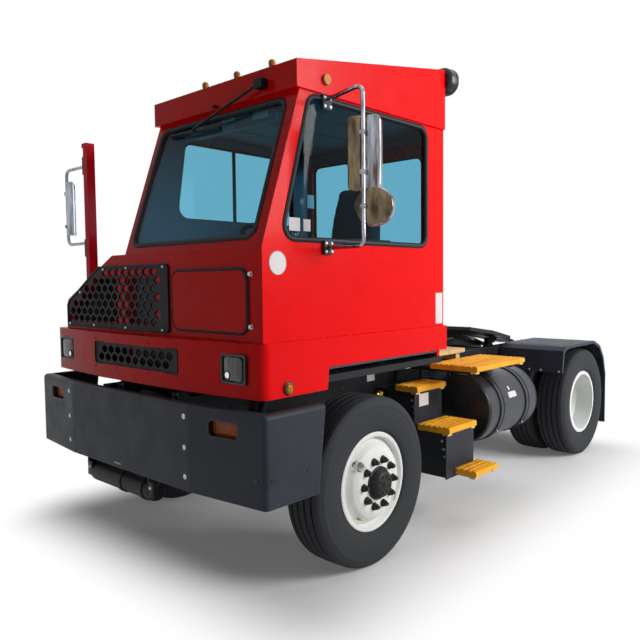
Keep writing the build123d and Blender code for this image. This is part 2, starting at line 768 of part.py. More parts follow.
# each tread: top height, inner and outer X, front and rear Y
treads = [
    (970.0, 640.0, 838.0, axle_y + 850.0, axle_y + 1235.0),
    (710.0, 856.0, 1122.0, axle_y + 826.0, axle_y + 1203.0),
    (400.0, 1096.0, 1262.0, axle_y + 950.0, axle_y + 1270.0),
]
plate_top = 1120.0
plate_x = (790.0, 1190.0)
plate_y = (axle_y + 1088.0, axle_y + 1848.0)
plate_thick = 40.0
riser_inset = 26.0
side_inset = 34.0
back_inset = 20.0


def tread_board(top, x0, x1, y0, y1, thick):
    """Step board with grooves along it and a rounded nose."""
    profile = [(x0, top - thick), (x0, top)]
    grooves = int((x1 - x0 - rib_pitch / 2) / rib_pitch)
    for k in range(grooves):
        x = x0 + rib_pitch * (k + 0.6)
        profile += [(x - groove_half, top), (x - groove_floor, top - groove_depth),
                    (x + groove_floor, top - groove_depth), (x + groove_half, top)]
    profile += [(x1, top), (x1, top - thick)]
    board = front_prism(profile, y0, y1)
    return fillet([e for e in board.edges().filter_by(Axis.Y) if e.center().X > x1 - past], tread_nose)


boards = [tread_board(*tread, tread_thick) for tread in treads]
boards.append(tread_board(plate_top, *plate_x, *plate_y, plate_thick))
save("step_treads", *boards)

top1, in1, out1, front1, back1 = treads[0]
top2, _, out2, front2, back2 = treads[1]
top3, _, out3, front3, back3 = treads[2]
under1, under2, under3 = (top - tread_thick - seat for top in (top1, top2, top3))
face1, face2 = out1 - riser_inset, out2 - riser_inset
carrier_x = rail_half_width + seat
box_low1, box_low2 = under2 - 30, under3 - 14
box_front1, box_back1 = front1 + side_inset, back1 - side_inset - back_inset

# upper box, from the rail out to the first riser
boxes = block(face1 - riser_wall, face1, front1, back1 - back_inset, box_low1, under1)
for y in (box_front1, box_back1 - riser_wall):
    boxes += block(carrier_x, face1, y, y + riser_wall, box_low1, under1)
boxes += block(in1 + 10, face1, box_front1, box_back1, under1 - riser_wall, under1)
boxes += block(carrier_x, carrier_x + riser_wall, box_front1, box_back1, rail_bottom + 5, under1)
# middle box below the second tread
boxes += block(face2 - riser_wall, face2, front2, back2, box_low2, under2)
boxes += block(in1 + 60, face2, front2 + side_inset, back2 - side_inset, under2 - riser_wall, under2)
for y in (front2 + side_inset, back2 - side_inset - riser_wall):
    boxes += block(out1 - 80, face2, y, y + riser_wall, box_low2, under2)
# cheeks that carry the lowest tread
for y in (front3 + side_inset, back3 - side_inset - side_wall):
    boxes += block(face2 - riser_wall, out3 - 20, y, y + side_wall, box_low2, under3)
boxes += block(face2 - riser_wall, face2, front2, back3 - side_inset, box_low2, under3)
# brackets under the plate that covers the tank
plate_under = plate_top - plate_thick - seat
for y in (plate_y[0] + 80, plate_y[1] - 120):
    boxes += block(carrier_x, plate_x[1] - 60, y, y + 40, plate_under - 30, plate_under)
    boxes += block(carrier_x, carrier_x + cradle_wall, y - 30, y + 70, rail_bottom + 110, plate_under)
boxes += block(carrier_x, carrier_x + cradle_wall, box_front1, plate_y[1] - 80, rail_top - 50, rail_top - 20)
save("step_boxes", boxes)

deck_top = 1180.0
deck_thick = 34.0
deck_front = axle_y + 846.0
deck_rear = axle_y + 1720.0
deck_half = 720.0
deck_beam_half = 30.0
deck_beam_inset = 80.0
deck = block(-deck_half, deck_half, deck_front, deck_rear, deck_top - deck_thick, deck_top)
for y in (deck_front + deck_beam_inset, (deck_front + deck_rear) / 2, deck_rear - deck_beam_inset):
    deck += block(-deck_half + 20, deck_half - 20, y - deck_beam_half, y + deck_beam_half,
                  rail_top + seat, deck_top - deck_thick + past)
save("deck_plate", deck)

# ---------------------------------------------------------------- rear fenders
fender_clear = 65.0
fender_top = 2 * tyre_radius + fender_clear
fender_inner = rail_half_width + 14.0
fender_outer = 1082.0
fender_front = drive_y - tyre_radius - 35.0
fender_rear = drive_y + tyre_radius + 40.0
apron_drop = 245.0
flap_bottom = 230.0
fender_wall = 8.0
fender_lip = 26.0
brace_radius = 20.0
# corners of the outline: how far each is from the front or from the axle, and its drop
nose_corners = [(0.0, apron_drop), (30.0, 40.0), (90.0, 8.0), (150.0, 0.0)]
tail_corners = [(0.457, 0.0), (0.762, 0.114), (0.971, 0.362)]
tail_drop = 0.686


def fender_outline(inset):
    """Mudguard outline from the apron's foot over the tyres to the flap's foot."""
    points = [(fender_front + inset + y, fender_top - drop - (inset if drop < apron_drop else 0))
              for y, drop in nose_corners]
    points += [(drive_y + reach * tyre_radius - inset * reach,
                fender_top - drop * tyre_radius - inset * (1 - drop))
               for reach, drop in tail_corners]
    points.append((fender_rear - inset, fender_top - tail_drop * tyre_radius))
    return points


def fender():
    """Left mudguard over the twin tyres, with a front apron and a flap behind."""
    skin = side_prism(fender_outline(0) + [(fender_rear, flap_bottom), (fender_rear - fender_wall,
                                                                        flap_bottom)]
                      + fender_outline(fender_wall)[::-1], fender_inner, fender_outer)
    skin += side_prism(fender_outline(0) + fender_outline(fender_lip)[::-1], fender_outer - fender_wall,
                       fender_outer)
    brace_z = fender_top - fender_wall - brace_radius + 2
    for y in (fender_front + 170, drive_y + 130):
        skin += cross_rod(fender_inner + 2, fender_outer - 40, y, brace_z, brace_radius)
        skin += block(rail_half_width + seat, fender_inner + 4, y - 40, y + 40, rail_top - 120,
                      fender_top - fender_wall)
    return skin


save("rear_fenders", fender(), mirrored(fender()))

# ---------------------------------------------------------------- battery box, right side
battery_right = -1080.0
battery_front = axle_y + 900.0
battery_rear = axle_y + 1500.0
battery_low = 560.0
battery_top = 1060.0
battery_round = 16.0
lid_line_z = battery_top - 126.0
lid_line = 8.0
battery = rounded_block(battery_right, -rail_half_width - seat, battery_front, battery_rear,
                        battery_low, battery_top, battery_round)
battery -= block(battery_right - past, battery_right + 20, battery_front + 5, battery_rear - 5,
                 lid_line_z - lid_line / 2, lid_line_z + lid_line / 2)
save("battery_box", battery)

# ---------------------------------------------------------------- cab: fascia and skirts
ledge = 12.0
skirt_wall = 30.0
lamp_x = 900.0
lamp_z = 1298.0
lamp_width = 200.0
lamp_height = 158.0
lamp_depth = 70.0
lamp_round = 14.0
grille_half = 455.0
grille_low = 1236.0
grille_high = 1375.0
grille_round = 16.0
fascia_corner = 60.0
fascia_corner_least = 6.0
front_cut = 200.0


def bowed_solid(inset, z0, z1, back):
    """Nose block: straight sides, one arc across the front, rounded corners."""
    x = cab_left - inset
    front, corner = fascia_front + inset, fascia_corner_front + inset
    with BuildSketch() as plan:
        with BuildLine():
            ThreePointArc((-x, corner), (0, front), (x, corner))
            Line((x, corner), (x, back))
            Line((x, back), (-x, back))
            Line((-x, back), (-x, corner))
        make_face()
    solid = Pos(0, 0, z0) * extrude(plan.sketch, amount=z1 - z0)
    edges = [e for e in solid.edges().filter_by(Axis.Z) if e.center().Y < back - 10]
    return fillet(edges, max(fascia_corner - inset, fascia_corner_least))


nose = bowed_solid(0, fascia_bottom, fascia_top, cab_rear)
nose -= bowed_solid(skirt_wall, fascia_bottom - past, fascia_top - ledge, cab_rear + 2 * skirt_wall)
# the ledge on top reaches in under the body above it
nose -= block(-cab_left + 150, cab_left - 46, front_face + sheet - 2, cab_rear + past,
              fascia_top - ledge - past, fascia_top + past)
# wheel arches, with the side skirts above them
arch = side_prism([(arch_front, fascia_bottom - past), (arch_front + 14, skirt_bottom),
                   (cab_rear + past, skirt_bottom), (cab_rear + past, fascia_bottom - past)],
                  cab_left - 100, cab_left + past)
nose -= arch + mirrored(arch)
nose -= block(-cab_left - past, -cab_left + 152, hood_rear, cab_rear + past, fascia_bottom - past,
              fascia_top + past)
for x in (-lamp_x, lamp_x):
    nose -= rounded_block(x - lamp_width / 2, x + lamp_width / 2, fascia_front - past,
                          fascia_front + front_cut,
                          lamp_z - lamp_height / 2, lamp_z + lamp_height / 2, lamp_round)
nose -= rounded_block(-grille_half, grille_half, fascia_front - past, fascia_front + front_cut,
                      grille_low, grille_high, grille_round)
save("cab_fascia", nose)

# ---------------------------------------------------------------- cab: front, with the windscreen frame
face_back = front_face + sheet
wall_left_outer = cab_left - 18.0
wall_left_inner = wall_left_outer - sheet
wall_base = fascia_top + seat
slope = (screen_top_y - front_face) / (screen_top_z - belt_z)

hatch_right, hatch_left = 330.0, 970.0
hatch_low, hatch_high = 1488.0, 1812.0
hatch_border = 20.0
hatch_round = 52.0
hatch_wall = 12.0

# the two openings behind the upper grille, with a strip of sheet between them
vent_low, vent_high = 1500.0, 1780.0
vent_right = (-945.0, -300.0)
vent_left = (-170.0, 145.0)
vent_shoulder_x = -640.0
vent_shoulder_z = 1600.0

plate = front_prism([(wall_left_inner - seat, wall_base), (wall_left_inner - seat, belt_z),
                     (hood_edge_x, belt_z),
                     (hood_right + hood_shoulder, hood_low_z), (hood_right, hood_low_z - hood_drop),
                     (hood_right, wall_base)], front_face, face_back)
plate -= block(*vent_left, front_face - past, face_back + past, vent_low, vent_high)
plate -= front_prism([(vent_right[0], vent_low), (vent_right[0], vent_shoulder_z), (vent_shoulder_x,
                                                                                    vent_high),
                      (vent_right[1], vent_high), (vent_right[1], vent_low)], front_face - past,
                      face_back + past)
plate -= rounded_block(hatch_right + hatch_border, hatch_left - hatch_border, front_face - past,
                       face_back + past,
                       hatch_low + hatch_border, hatch_high - hatch_border, hatch_round - hatch_border + 4)
screen_frame = side_prism([(front_face, belt_z), (screen_top_y, screen_top_z), (screen_top_y + sheet,
                                                                                screen_top_z),
                           (face_back, belt_z)], cab_right, wall_left_inner - seat)


def screen_cutter(shrink):
    """Block through the windscreen's opening, drawn in by the given amount."""
    return rounded_block(cab_right + screen_margin_right + shrink,
                         wall_left_inner - screen_margin_left - shrink,
                         front_face - front_cut, screen_top_y + front_cut,
                         screen_base_z + screen_margin_low + shrink,
                         screen_top_z - screen_margin_high - shrink,
                         pane_round)


screen_frame -= screen_cutter(0)
save("cab_front", plate + screen_frame)

# ---------------------------------------------------------------- grilles, pressed from honeycomb sheet
mesh_thick = 8.0
mesh_right, mesh_left = -957.0, 285.0
mesh_low, mesh_high = 1452.0, 1863.0
mesh_shoulder = [(-515.0, mesh_high), (-930.0, 1634.0), (mesh_right, 1592.0)]
mesh_round = 34.0
hex_pitch = 80.0
hex_row = 51.0
hex_width = 63.0
hex_height = 55.0
hex_flat = 19.0
first_hex_x = -914.0
first_hex_z = 1512.0
hex_columns, hex_rows = 14, 7

mesh_front = front_face - seat - mesh_thick
mesh_back = front_face - seat
upper_mesh = front_prism([(mesh_left, mesh_low), (mesh_left, mesh_high)] + mesh_shoulder + [(mesh_right,
                                                                                             mesh_low)],
                         mesh_front, mesh_back)
upper_mesh = fillet([e for e in upper_mesh.edges().filter_by(Axis.Y) if e.center().X > mesh_left - past
                     or e.center().Z < mesh_low + past], mesh_round)
shoulder_top, shoulder_foot = mesh_shoulder[0], mesh_shoulder[1]
shoulder_slope = (shoulder_top[1] - shoulder_foot[1]) / (shoulder_top[0] - shoulder_foot[0])
mesh_border = 46.0
holes = []
for cutter in honeycomb(hex_columns, hex_rows, first_hex_x, first_hex_z, mesh_front - past, mesh_back + past):
    centre = cutter.center()
    under_shoulder = shoulder_foot[1] + shoulder_slope * (centre.X - shoulder_foot[0]) - centre.Z
    if under_shoulder > mesh_border and centre.X < mesh_left - mesh_border:
        holes.append(cutter)
upper_mesh -= holes

low_front = fascia_front + 14.0
low_mesh = rounded_block(-grille_half + fit, grille_half - fit, low_front, low_front + mesh_thick,
                         grille_low + fit, grille_high - fit, grille_round)
low_columns = int(2 * (grille_half - hex_width / 2) / hex_pitch)
low_start = -hex_pitch * (low_columns - 0.5) / 2
low_mesh -= honeycomb(low_columns, 2, low_start, (grille_low + grille_high - hex_row) / 2,
                      low_front - past, low_front + mesh_thick + past)
save("grilles", upper_mesh, low_mesh)

panel = rounded_block(hatch_right, hatch_left, front_face - seat - hatch_wall, front_face - seat,
                      hatch_low, hatch_high, hatch_round)
save("access_panel", panel)

# ---------------------------------------------------------------- cab: side and back walls
wall_top = screen_top_z
cab_back_y = cab_rear - 17.0
back_inner = cab_back_y - sheet
floor_top = floor_z + floor_thick
door_height = wall_top - floor_top - door_head


def side_outline(front, base):
    """Side of the cab: upright to the belt, then leaning back with the windscreen."""
    return [(front, base), (front, belt_z), (front + slope * (wall_top - belt_z), wall_top),
            (cab_back_y, wall_top),
            (cab_back_y, base)]


def side_window(front_low, front_high, high, shrink, x0, x1):
    """Cutter or pane for a side window, drawn in by the given amount."""
    return rounded_window([(front_low + shrink, window_low + shrink), (front_high + shrink, high - shrink),
                           (window_rear - shrink, high - shrink), (window_rear - shrink,
                                                                   window_low + shrink)],
                          x0, x1, window_round)


left_wall = side_prism(side_outline(front_face, wall_base), wall_left_inner, wall_left_outer)
left_wall -= side_window(window_front_low, window_front_high, window_high, 0,
                         wall_left_inner - past, wall_left_outer + past)
save("cab_wall_left", left_wall)

right_front_low = axle_y - 560.0
right_front_high = axle_y - 420.0
right_high = window_high - 41.0
right_wall = side_prism(side_outline(face_back + seat, floor_top + seat), cab_right, cab_right + sheet)
right_wall -= side_window(right_front_low, right_front_high, right_high, 0, cab_right - past,
                          cab_right + sheet + past)
save("cab_wall_right", right_wall)

inner_right = cab_right + sheet + seat
door_left = door_x + door_width
frame_lap = 30.0
frame_step = 40.0
back_pane_high = window_high - 81.0
pane_x = (cab_right + sheet + 50.0, door_x - 60.0)
back_wall = block(inner_right, wall_left_inner - seat, back_inner, cab_back_y, floor_top + seat, wall_top)
back_wall -= rounded_block(door_x + frame_lap, door_left - frame_lap, back_inner - past, cab_back_y + past,
                           floor_top + frame_step, floor_top + door_height - frame_step, pane_round)
back_wall -= rounded_block(*pane_x, back_inner - past, cab_back_y + past, window_low, back_pane_high,
                           pane_round)
# the tracks above and below the door
track_out = door_wall + 2 * door_clear + 10
track_z = floor_top + door_height + sill
track_wall = 16.0
track_lip = 40.0
for z0, z1 in ((track_z, track_z + track_wall), (floor_top + seat, floor_top + sill)):
    back_wall += block(inner_right, door_left, cab_back_y - past, cab_back_y + track_out, z0, z1)
back_wall += block(inner_right, door_left, cab_back_y + track_out - 8, cab_back_y + track_out,
                   track_z - track_lip, track_z + past)
save("cab_wall_back", back_wall)

# ---------------------------------------------------------------- rear sliding door
door_front = cab_back_y + door_clear
door_back = door_front + door_wall
door_low = floor_top + sill + seat
door_high = floor_top + door_height + sill / 2
door_round = 24.0
door_glass_high = door_high - door_border - 10
handle_x = door_left - 44.0
handle_low = door_low + 468.0
handle_length = 186.0
handle_out = 22.0
handle_half = 8.0
door_leaf = rounded_block(door_x, door_left, door_front, door_back, door_low, door_high, door_round)
door_leaf -= rounded_block(door_x + door_border, door_left - door_border, door_front - past, door_back + past,
                           window_low, door_glass_high, pane_round)
for z in (handle_low + 10, handle_low + handle_length - 26):
    door_leaf += block(handle_x - handle_half, handle_x + handle_half, door_back - past,
                       door_back + handle_out + 2,
                       z, z + 2 * handle_half)
door_leaf += block(handle_x - 10, handle_x + 10, door_back + handle_out, door_back + handle_out + 14,
                   handle_low, handle_low + handle_length)
save("rear_door", door_leaf)
door_pane = rounded_block(door_x + door_border + fit, door_left - door_border - fit, door_front + glass_set,
                          door_front + glass_set + glass, window_low + fit, door_glass_high - fit, pane_round)
save("rear_door_glass", door_pane)

# ---------------------------------------------------------------- cab: roof, floor, hood
roof_over = 14.0
roof_round = 14.0
roof_brow = 74.0
roof_left = wall_left_outer + roof_over
roof_right = cab_right - roof_over
roof_base = screen_top_z + seat
roof_pitch = (roof_rear_z - roof_front_z) / (cab_back_y - roof_front_y)
roof = side_prism([(roof_front_y, roof_base), (roof_front_y, roof_front_z), (cab_back_y, roof_rear_z),
                   (cab_back_y, roof_base)], roof_right, roof_left)
roof = fillet(roof.edges().group_by(Axis.Z)[-1].filter_by(Axis.X), roof_round)
inside_front = roof_front_y + roof_brow
roof -= side_prism([(inside_front, roof_base - past), (inside_front,
                                                       roof_front_z - roof_wall + roof_pitch * roof_brow),
                    (cab_back_y - roof_wall, roof_rear_z - roof_wall - roof_pitch * roof_wall),
                    (cab_back_y - roof_wall, roof_base - past)],
                   roof_right + roof_wall + roof_over, roof_left - roof_wall - roof_over)
save("cab_roof", roof)

floor_front = face_back + seat
floor_left = cab_left - skirt_wall - seat
floor = block(cab_right, floor_left, floor_front, cab_back_y, floor_z, floor_top)
floor = fillet([e for e in floor.edges().filter_by(Axis.Z) if e.center().X > 0 and e.center().Y < front_face + 100], 34)
floor += block(inner_right, floor_left - 40, floor_front, floor_front + 20, floor_z,
               fascia_top - ledge - seat)
tongue = 24.0
tongue_radius = 14.0
pin_reach = lug_gap / 2 + lug_plate + 4
for x in tilt_lug_x:
    floor += side_prism([(tilt_y, tilt_z - tongue_radius), (front_face + 95, floor_z + past),
                         (floor_front, floor_z + past), (tilt_y, tilt_z + tongue_radius)],
                        x - tongue / 2, x + tongue / 2)
    floor += cross_rod(x - tongue / 2, x + tongue / 2, tilt_y, tilt_z, tongue_radius)
    floor += cross_rod(x - pin_reach, x + pin_reach, tilt_y, tilt_z, tilt_pin_radius)

seat_x = 600.0
seat_y = axle_y + 190.0
seat_top = 1560.0
base_half = 190.0
floor += block(seat_x - base_half, seat_x + base_half, seat_y - 200, seat_y + 190, floor_top - past, seat_top)
# the seat's back frame stands up behind the cushions
cushion_thick = 130.0
rest_low = (seat_y + 270.0, seat_top + cushion_thick + 2)
rest_high = (seat_y + 340.0, seat_top + 860)
rest_lean = (rest_high[0] - rest_low[0]) / (rest_high[1] - rest_low[1])
frame_high = 1920.0
frame_half = 120.0
frame_wall = 18.0
frame_top_y = rest_low[0] + rest_lean * (frame_high - rest_low[1])
floor += side_prism([(seat_y + 150, seat_top - 60), (rest_low[0] + 30, seat_top - 60),
                     (frame_top_y + frame_wall, frame_high), (frame_top_y + seat, frame_high),
                     (rest_low[0] + seat, rest_low[1]), (seat_y + 201, seat_top - past),
                     (seat_y + 150, seat_top - past)], seat_x - frame_half, seat_x + frame_half)
# ears and pin at the head of the tilt cylinder
head_gap = 34.0
head_wall = 6.0
head_pin = 12.0
for edge in (-1, 1):
    x = tilt_cylinder_x + edge * head_gap
    floor += block(x - head_wall, x + head_wall, tilt_head_y - 30, tilt_head_y + 30, tilt_head_z - 20,
                   floor_z + past)
floor += cross_rod(tilt_cylinder_x - head_gap - head_wall, tilt_cylinder_x + head_gap + head_wall,
                   tilt_head_y, tilt_head_z, head_pin)
save("cab_floor", floor)

w = hood_wall
shoulder_x = hood_right + hood_shoulder
hood_outer = front_prism([(cab_right - seat, belt_z), (hood_edge_x, belt_z), (shoulder_x, hood_low_z),
                          (hood_right, hood_low_z - hood_drop), (hood_right, wall_base),
                          (cab_right - seat, wall_base)], face_back + seat, hood_rear)
hood_inner = front_prism([(cab_right + 5, belt_z - w), (hood_edge_x - w * 0.24, belt_z - w),
                          (shoulder_x + w * 0.7, hood_low_z - w * 0.6), (hood_right + w,
                                                                         hood_low_z - hood_drop - 8),
                          (hood_right + w, wall_base - 5), (cab_right + 5, wall_base - 5)],
                         face_back - 5, hood_rear - w)
save("hood", hood_outer - hood_inner)

# ---------------------------------------------------------------- glass
screen_slab = side_prism([(front_face + glass_set, belt_z), (screen_top_y + glass_set, screen_top_z),
                          (screen_top_y + glass_set + glass, screen_top_z), (front_face + glass_set + glass,
                                                                             belt_z)],
                         cab_right, wall_left_inner)
save("windscreen", screen_slab & screen_cutter(fit))
left_glass_x = wall_left_inner + glass_set
right_glass_x = cab_right + glass_set
left_pane = side_window(window_front_low, window_front_high, window_high, fit, left_glass_x,
                        left_glass_x + glass)
right_pane = side_window(right_front_low, right_front_high, right_high, fit, right_glass_x,
                         right_glass_x + glass)
save("side_glass", left_pane, right_pane)
rear_pane = rounded_block(pane_x[0] + fit, pane_x[1] - fit, back_inner + glass_set,
                          back_inner + glass_set + glass,
                          window_low + fit, back_pane_high - fit, pane_round)
save("back_glass", rear_pane)

# ---------------------------------------------------------------- lamps
lamp_proud = 4.0
bezel = 13.0
lamp_recess = 10.0
lens_width = 140.0
lens_height = 118.0
lens_round = 22.0
spot_radius = 22.0
spot_x, spot_z = 42.0, -34.0
bow = (fascia_corner_front - fascia_front) / cab_left ** 2


def headlamp(x):
    """Square lamp in a bezel, with a bulged lens and a small round lamp in its lower inner corner."""
    y = fascia_front + bow * lamp_x ** 2 - lamp_proud
    half_x, half_z = lamp_width / 2 - fit, lamp_height / 2 - fit
    body = rounded_block(x - half_x, x + half_x, y, y + lamp_depth, lamp_z - half_z, lamp_z + half_z,
                         lamp_round)
    body -= rounded_block(x - half_x + bezel, x + half_x - bezel, y - past, y + lamp_recess,
                          lamp_z - half_z + bezel, lamp_z + half_z - bezel, lamp_round)
    lens = rounded_block(x - lens_width / 2, x + lens_width / 2, y, y + lamp_recess + past,
                         lamp_z - lens_height / 2, lamp_z + lens_height / 2, lens_round)
    lens = fillet(lens.faces().sort_by(Axis.Y)[0].edges(), lamp_recess * 0.8)
    inner_x = x - spot_x if x > 0 else x + spot_x
    spot = rod((inner_x, y + lamp_recess, lamp_z + spot_z), (inner_x, y - lamp_proud, lamp_z + spot_z),
               spot_radius)
    return body + lens + spot


work_x, work_y, work_z = roof_left - 90.0, cab_back_y, roof_rear_z - 86.0
work_neck, work_radius = 24.0, 60.0
work_lamp = rod((work_x, work_y + seat, work_z), (work_x, work_y + 44, work_z), work_neck)
shell = rod((work_x, work_y + 38, work_z), (work_x, work_y + 96, work_z), work_radius)
work_lamp += chamfer(shell.edges().filter_by(GeomType.CIRCLE).sort_by(Axis.Y)[0], 20)
save("lamps", headlamp(lamp_x), headlamp(-lamp_x), work_lamp)

marker_radius = 30.0
marker_y, marker_z, marker_depth = axle_y - 729.0, 1193.0, 16.0
roof_marker_y, roof_marker_z = axle_y - 408.0, 2844.0
bullet_x = (300.0, 592.0, 885.0)
bullet_y = axle_y - 600.0
bullet_radius = 20.0
bullet_height = 42.0


def bullet_lamp(x):
    """Small domed lamp that stands square on the sloping roof."""
    foot = Plane(origin=(x, bullet_y, roof_front_z + roof_pitch * (bullet_y - roof_front_y)),
                 z_dir=(0, -roof_pitch, 1))
    body = extrude(foot.offset(seat) * Circle(bullet_radius), amount=bullet_height)
    return fillet(body.edges().filter_by(GeomType.CIRCLE).sort_by(Axis.Z)[-1], bullet_radius - 2)


ambers = [bullet_lamp(x) for x in bullet_x]
for side in (-1, 1):
    x = side * (cab_left + seat)
    ambers.append(cross_rod(x, x + side * marker_depth, marker_y, marker_z, marker_radius))
ambers.append(cross_rod(roof_left + seat, roof_left + marker_depth, roof_marker_y, roof_marker_z,
                        marker_radius - 2))
save("marker_lamps", *ambers)

# ---------------------------------------------------------------- inside the cab
cushion_half = 250.0
rest_half = 240.0
cushion = block(seat_x - cushion_half, seat_x + cushion_half, seat_y - 250, seat_y + 190,
                seat_top + seat, seat_top + cushion_thick)
cushion = fillet(cushion.edges(), 30)
backrest = side_prism([(seat_y + 150, rest_low[1]), rest_low, rest_high, (seat_y + 240, rest_high[1])],
                      seat_x - rest_half, seat_x + rest_half)
backrest = fillet(backrest.edges(), 28)
save("seat_cushions", cushion, backrest)

dash_front = face_back + 24.0
dash_back = face_back + 380.0
dash_low = floor_top + 220.0
dash_knee = 1640.0
dash_foot = 120.0
dash = side_prism([(dash_front, dash_low), (dash_front, belt_z - 60), (face_back + 200, belt_z - 40),
                   (dash_back, belt_z - 130), (dash_back, dash_knee), (face_back + dash_foot, dash_knee - 80),
                   (face_back + dash_foot, dash_low)], inner_right, wall_left_inner - seat)
wheel_tilt = 28.0
wheel_radius = 210.0
wheel_grip = 15.0
wheel_hub = 48.0
hub_half = 28.0
spoke_radius = 10.0
spoke_count = 3
column_radius = 34.0
column_length = 620.0
wheel_centre = Vector(seat_x, axle_y - 330.0, 1985.0)
tilt_dir = Vector(0, sin(radians(wheel_tilt)), cos(radians(wheel_tilt)))
dash += rod(tuple(wheel_centre - tilt_dir * column_length),
            tuple(wheel_centre - tilt_dir * (hub_half + seat)),
            column_radius)
save("dashboard", dash)

wheel_plane = Plane(wheel_centre, z_dir=tilt_dir)
steering = Location(wheel_plane) * (Torus(wheel_radius, wheel_grip) + Cylinder(wheel_hub, 2 * hub_half))
for k in range(spoke_count):
    angle = pi / 2 + 2 * pi * k / spoke_count
    direction = wheel_plane.x_dir * cos(angle) + wheel_plane.y_dir * sin(angle)
    steering += rod(tuple(wheel_centre + direction * 30),
                    tuple(wheel_centre + direction * (wheel_radius - 4)), spoke_radius)
save("steering_wheel", steering)

# ---------------------------------------------------------------- wiper
wiper_x, wiper_z = 847.0, 2823.0
motor_half_x, motor_half_z, motor_depth = 32.0, 26.0, 38.0
wiper_arm_radius = 8.0
blade_radius = 8.0
blade_clear = 0.6
nozzle_x, nozzle_z, nozzle_radius, nozzle_length = 429.0, 2782.0, 9.0, 22.0
arm_foot = (wiper_x, roof_front_y - motor_depth, wiper_z)
lean = atan(slope)
blade_sink = (blade_radius + blade_clear) / cos(lean) - glass_set


def off_screen(x, z, ahead):
    """Point in front of the windscreen frame's sloping face."""
    return (x, front_face + slope * (z - belt_z) - ahead, z)


blade_ends = off_screen(-30.0, 2677.0, blade_sink), off_screen(475.0, 2648.0, blade_sink)
blade_middle = off_screen(222.5, 2662.5, blade_sink)
arm_tip = off_screen(240.0, 2678.0, blade_sink + 30)
wiper = block(wiper_x - motor_half_x, wiper_x + motor_half_x, roof_front_y - motor_depth - 12,
              roof_front_y - seat,
              wiper_z - motor_half_z, wiper_z + motor_half_z)
wiper = fillet(wiper.edges().filter_by(Axis.Y), 8)
wiper += rod(arm_foot, arm_tip, wiper_arm_radius)
wiper += rod(arm_tip, blade_middle, wiper_arm_radius)
wiper += rod(blade_ends[0], blade_ends[1], blade_radius)
nozzle = rod((nozzle_x, roof_front_y - seat, nozzle_z), (nozzle_x, roof_front_y - nozzle_length, nozzle_z),
             nozzle_radius)
save("wipers", wiper, nozzle)

# ---------------------------------------------------------------- mirror post and arms
arm_radius = 12.0
foot_plate = 14.0
arm_y = axle_y - 400.0
arm_x = 1350.0
loop_low, loop_foot, loop_high = 1936.0, 2745.0, 2766.0
left_foot_x = wall_left_outer + seat
left_loop = bent_bar([(left_foot_x, arm_y, loop_foot), (left_foot_x + 60, arm_y, loop_foot),
                      (arm_x - 60, arm_y, loop_high), (arm_x, arm_y, loop_high), (arm_x, arm_y, loop_low),
                      (left_foot_x, arm_y, loop_low)], arm_radius, 40)
for z in (loop_foot - 22, loop_low):
    left_loop += block(left_foot_x, left_foot_x + foot_plate, arm_y - 34, arm_y + 34, z - 36, z + 36)

post_right, post_left = -1076.0, -1020.0
post_front, post_back = axle_y - 680.0, axle_y - 617.0
post_wall = 8.0
post_top = 2780.0
post_low = 1470.0
post_flare = 10.0
cap_height = 30.0
post = block(post_right, post_left, post_front, post_back, post_low, post_top)
post -= block(post_right + post_wall, post_left - post_wall, post_front + post_wall, post_back + past,
              post_low - past, post_top - cap_height)
post += block(post_right - post_flare, post_left, post_front - 4, post_back, post_top - cap_height, post_top)
for z in (post_low + 20, post_low + 110):
    post += block(post_left - past, hood_right - seat, post_front, post_back, z, z + 50)
save("mirror_post", post)

right_arm_x = -1397.0
right_arm_y = axle_y - 650.0
right_loop_high, right_loop_low = 2621.0, 2052.0
right_foot_x = post_right - seat
right_loop = bent_bar([(right_foot_x, right_arm_y, right_loop_high), (right_arm_x, right_arm_y,
                                                                      right_loop_high),
                       (right_arm_x, right_arm_y, right_loop_low), (right_foot_x, right_arm_y,
                                                                    right_loop_low)],
                      arm_radius, 50)
for z in (right_loop_high, right_loop_low - 36):
    right_loop += block(right_foot_x - foot_plate, right_foot_x, right_arm_y - 26, right_arm_y + 26, z - 62,
                        z + 62)
save("mirror_arms", left_loop, right_loop)

# ---------------------------------------------------------------- mirror heads
head_depth = 42.0
head_round = 34.0
head_edge = 12.0
round_radius = 104.0
left_turn, right_turn = 26.0, -33.0
clamp_half = 16.0
clamp_height = 24.0


def mirror_head(pole_x, pole_y, turn, aside, z0, z1, width, clamps):
    """Mirror housing behind its upright pole, turned about Z and held by clamps round the pole."""
    back = arm_radius + 3.0
    shell = block(aside - width / 2, aside + width / 2, back, back + head_depth, z0, z1)
    shell = fillet(shell.edges().filter_by(Axis.Y), head_round)
    shell = fillet(shell.faces().sort_by(Axis.Y)[0].edges(), head_edge)
    reach = max(clamp_half, aside - width / 2 + 40)
    for z in clamps:
        strap = block(-clamp_half, reach, -clamp_half, back + 2, z - clamp_height / 2, z + clamp_height / 2)
        strap -= upright(0, 0, z - clamp_height, z + clamp_height, arm_radius + fit)
        shell += strap
    return Pos(pole_x, pole_y, 0) * Rot(0, 0, turn) * shell


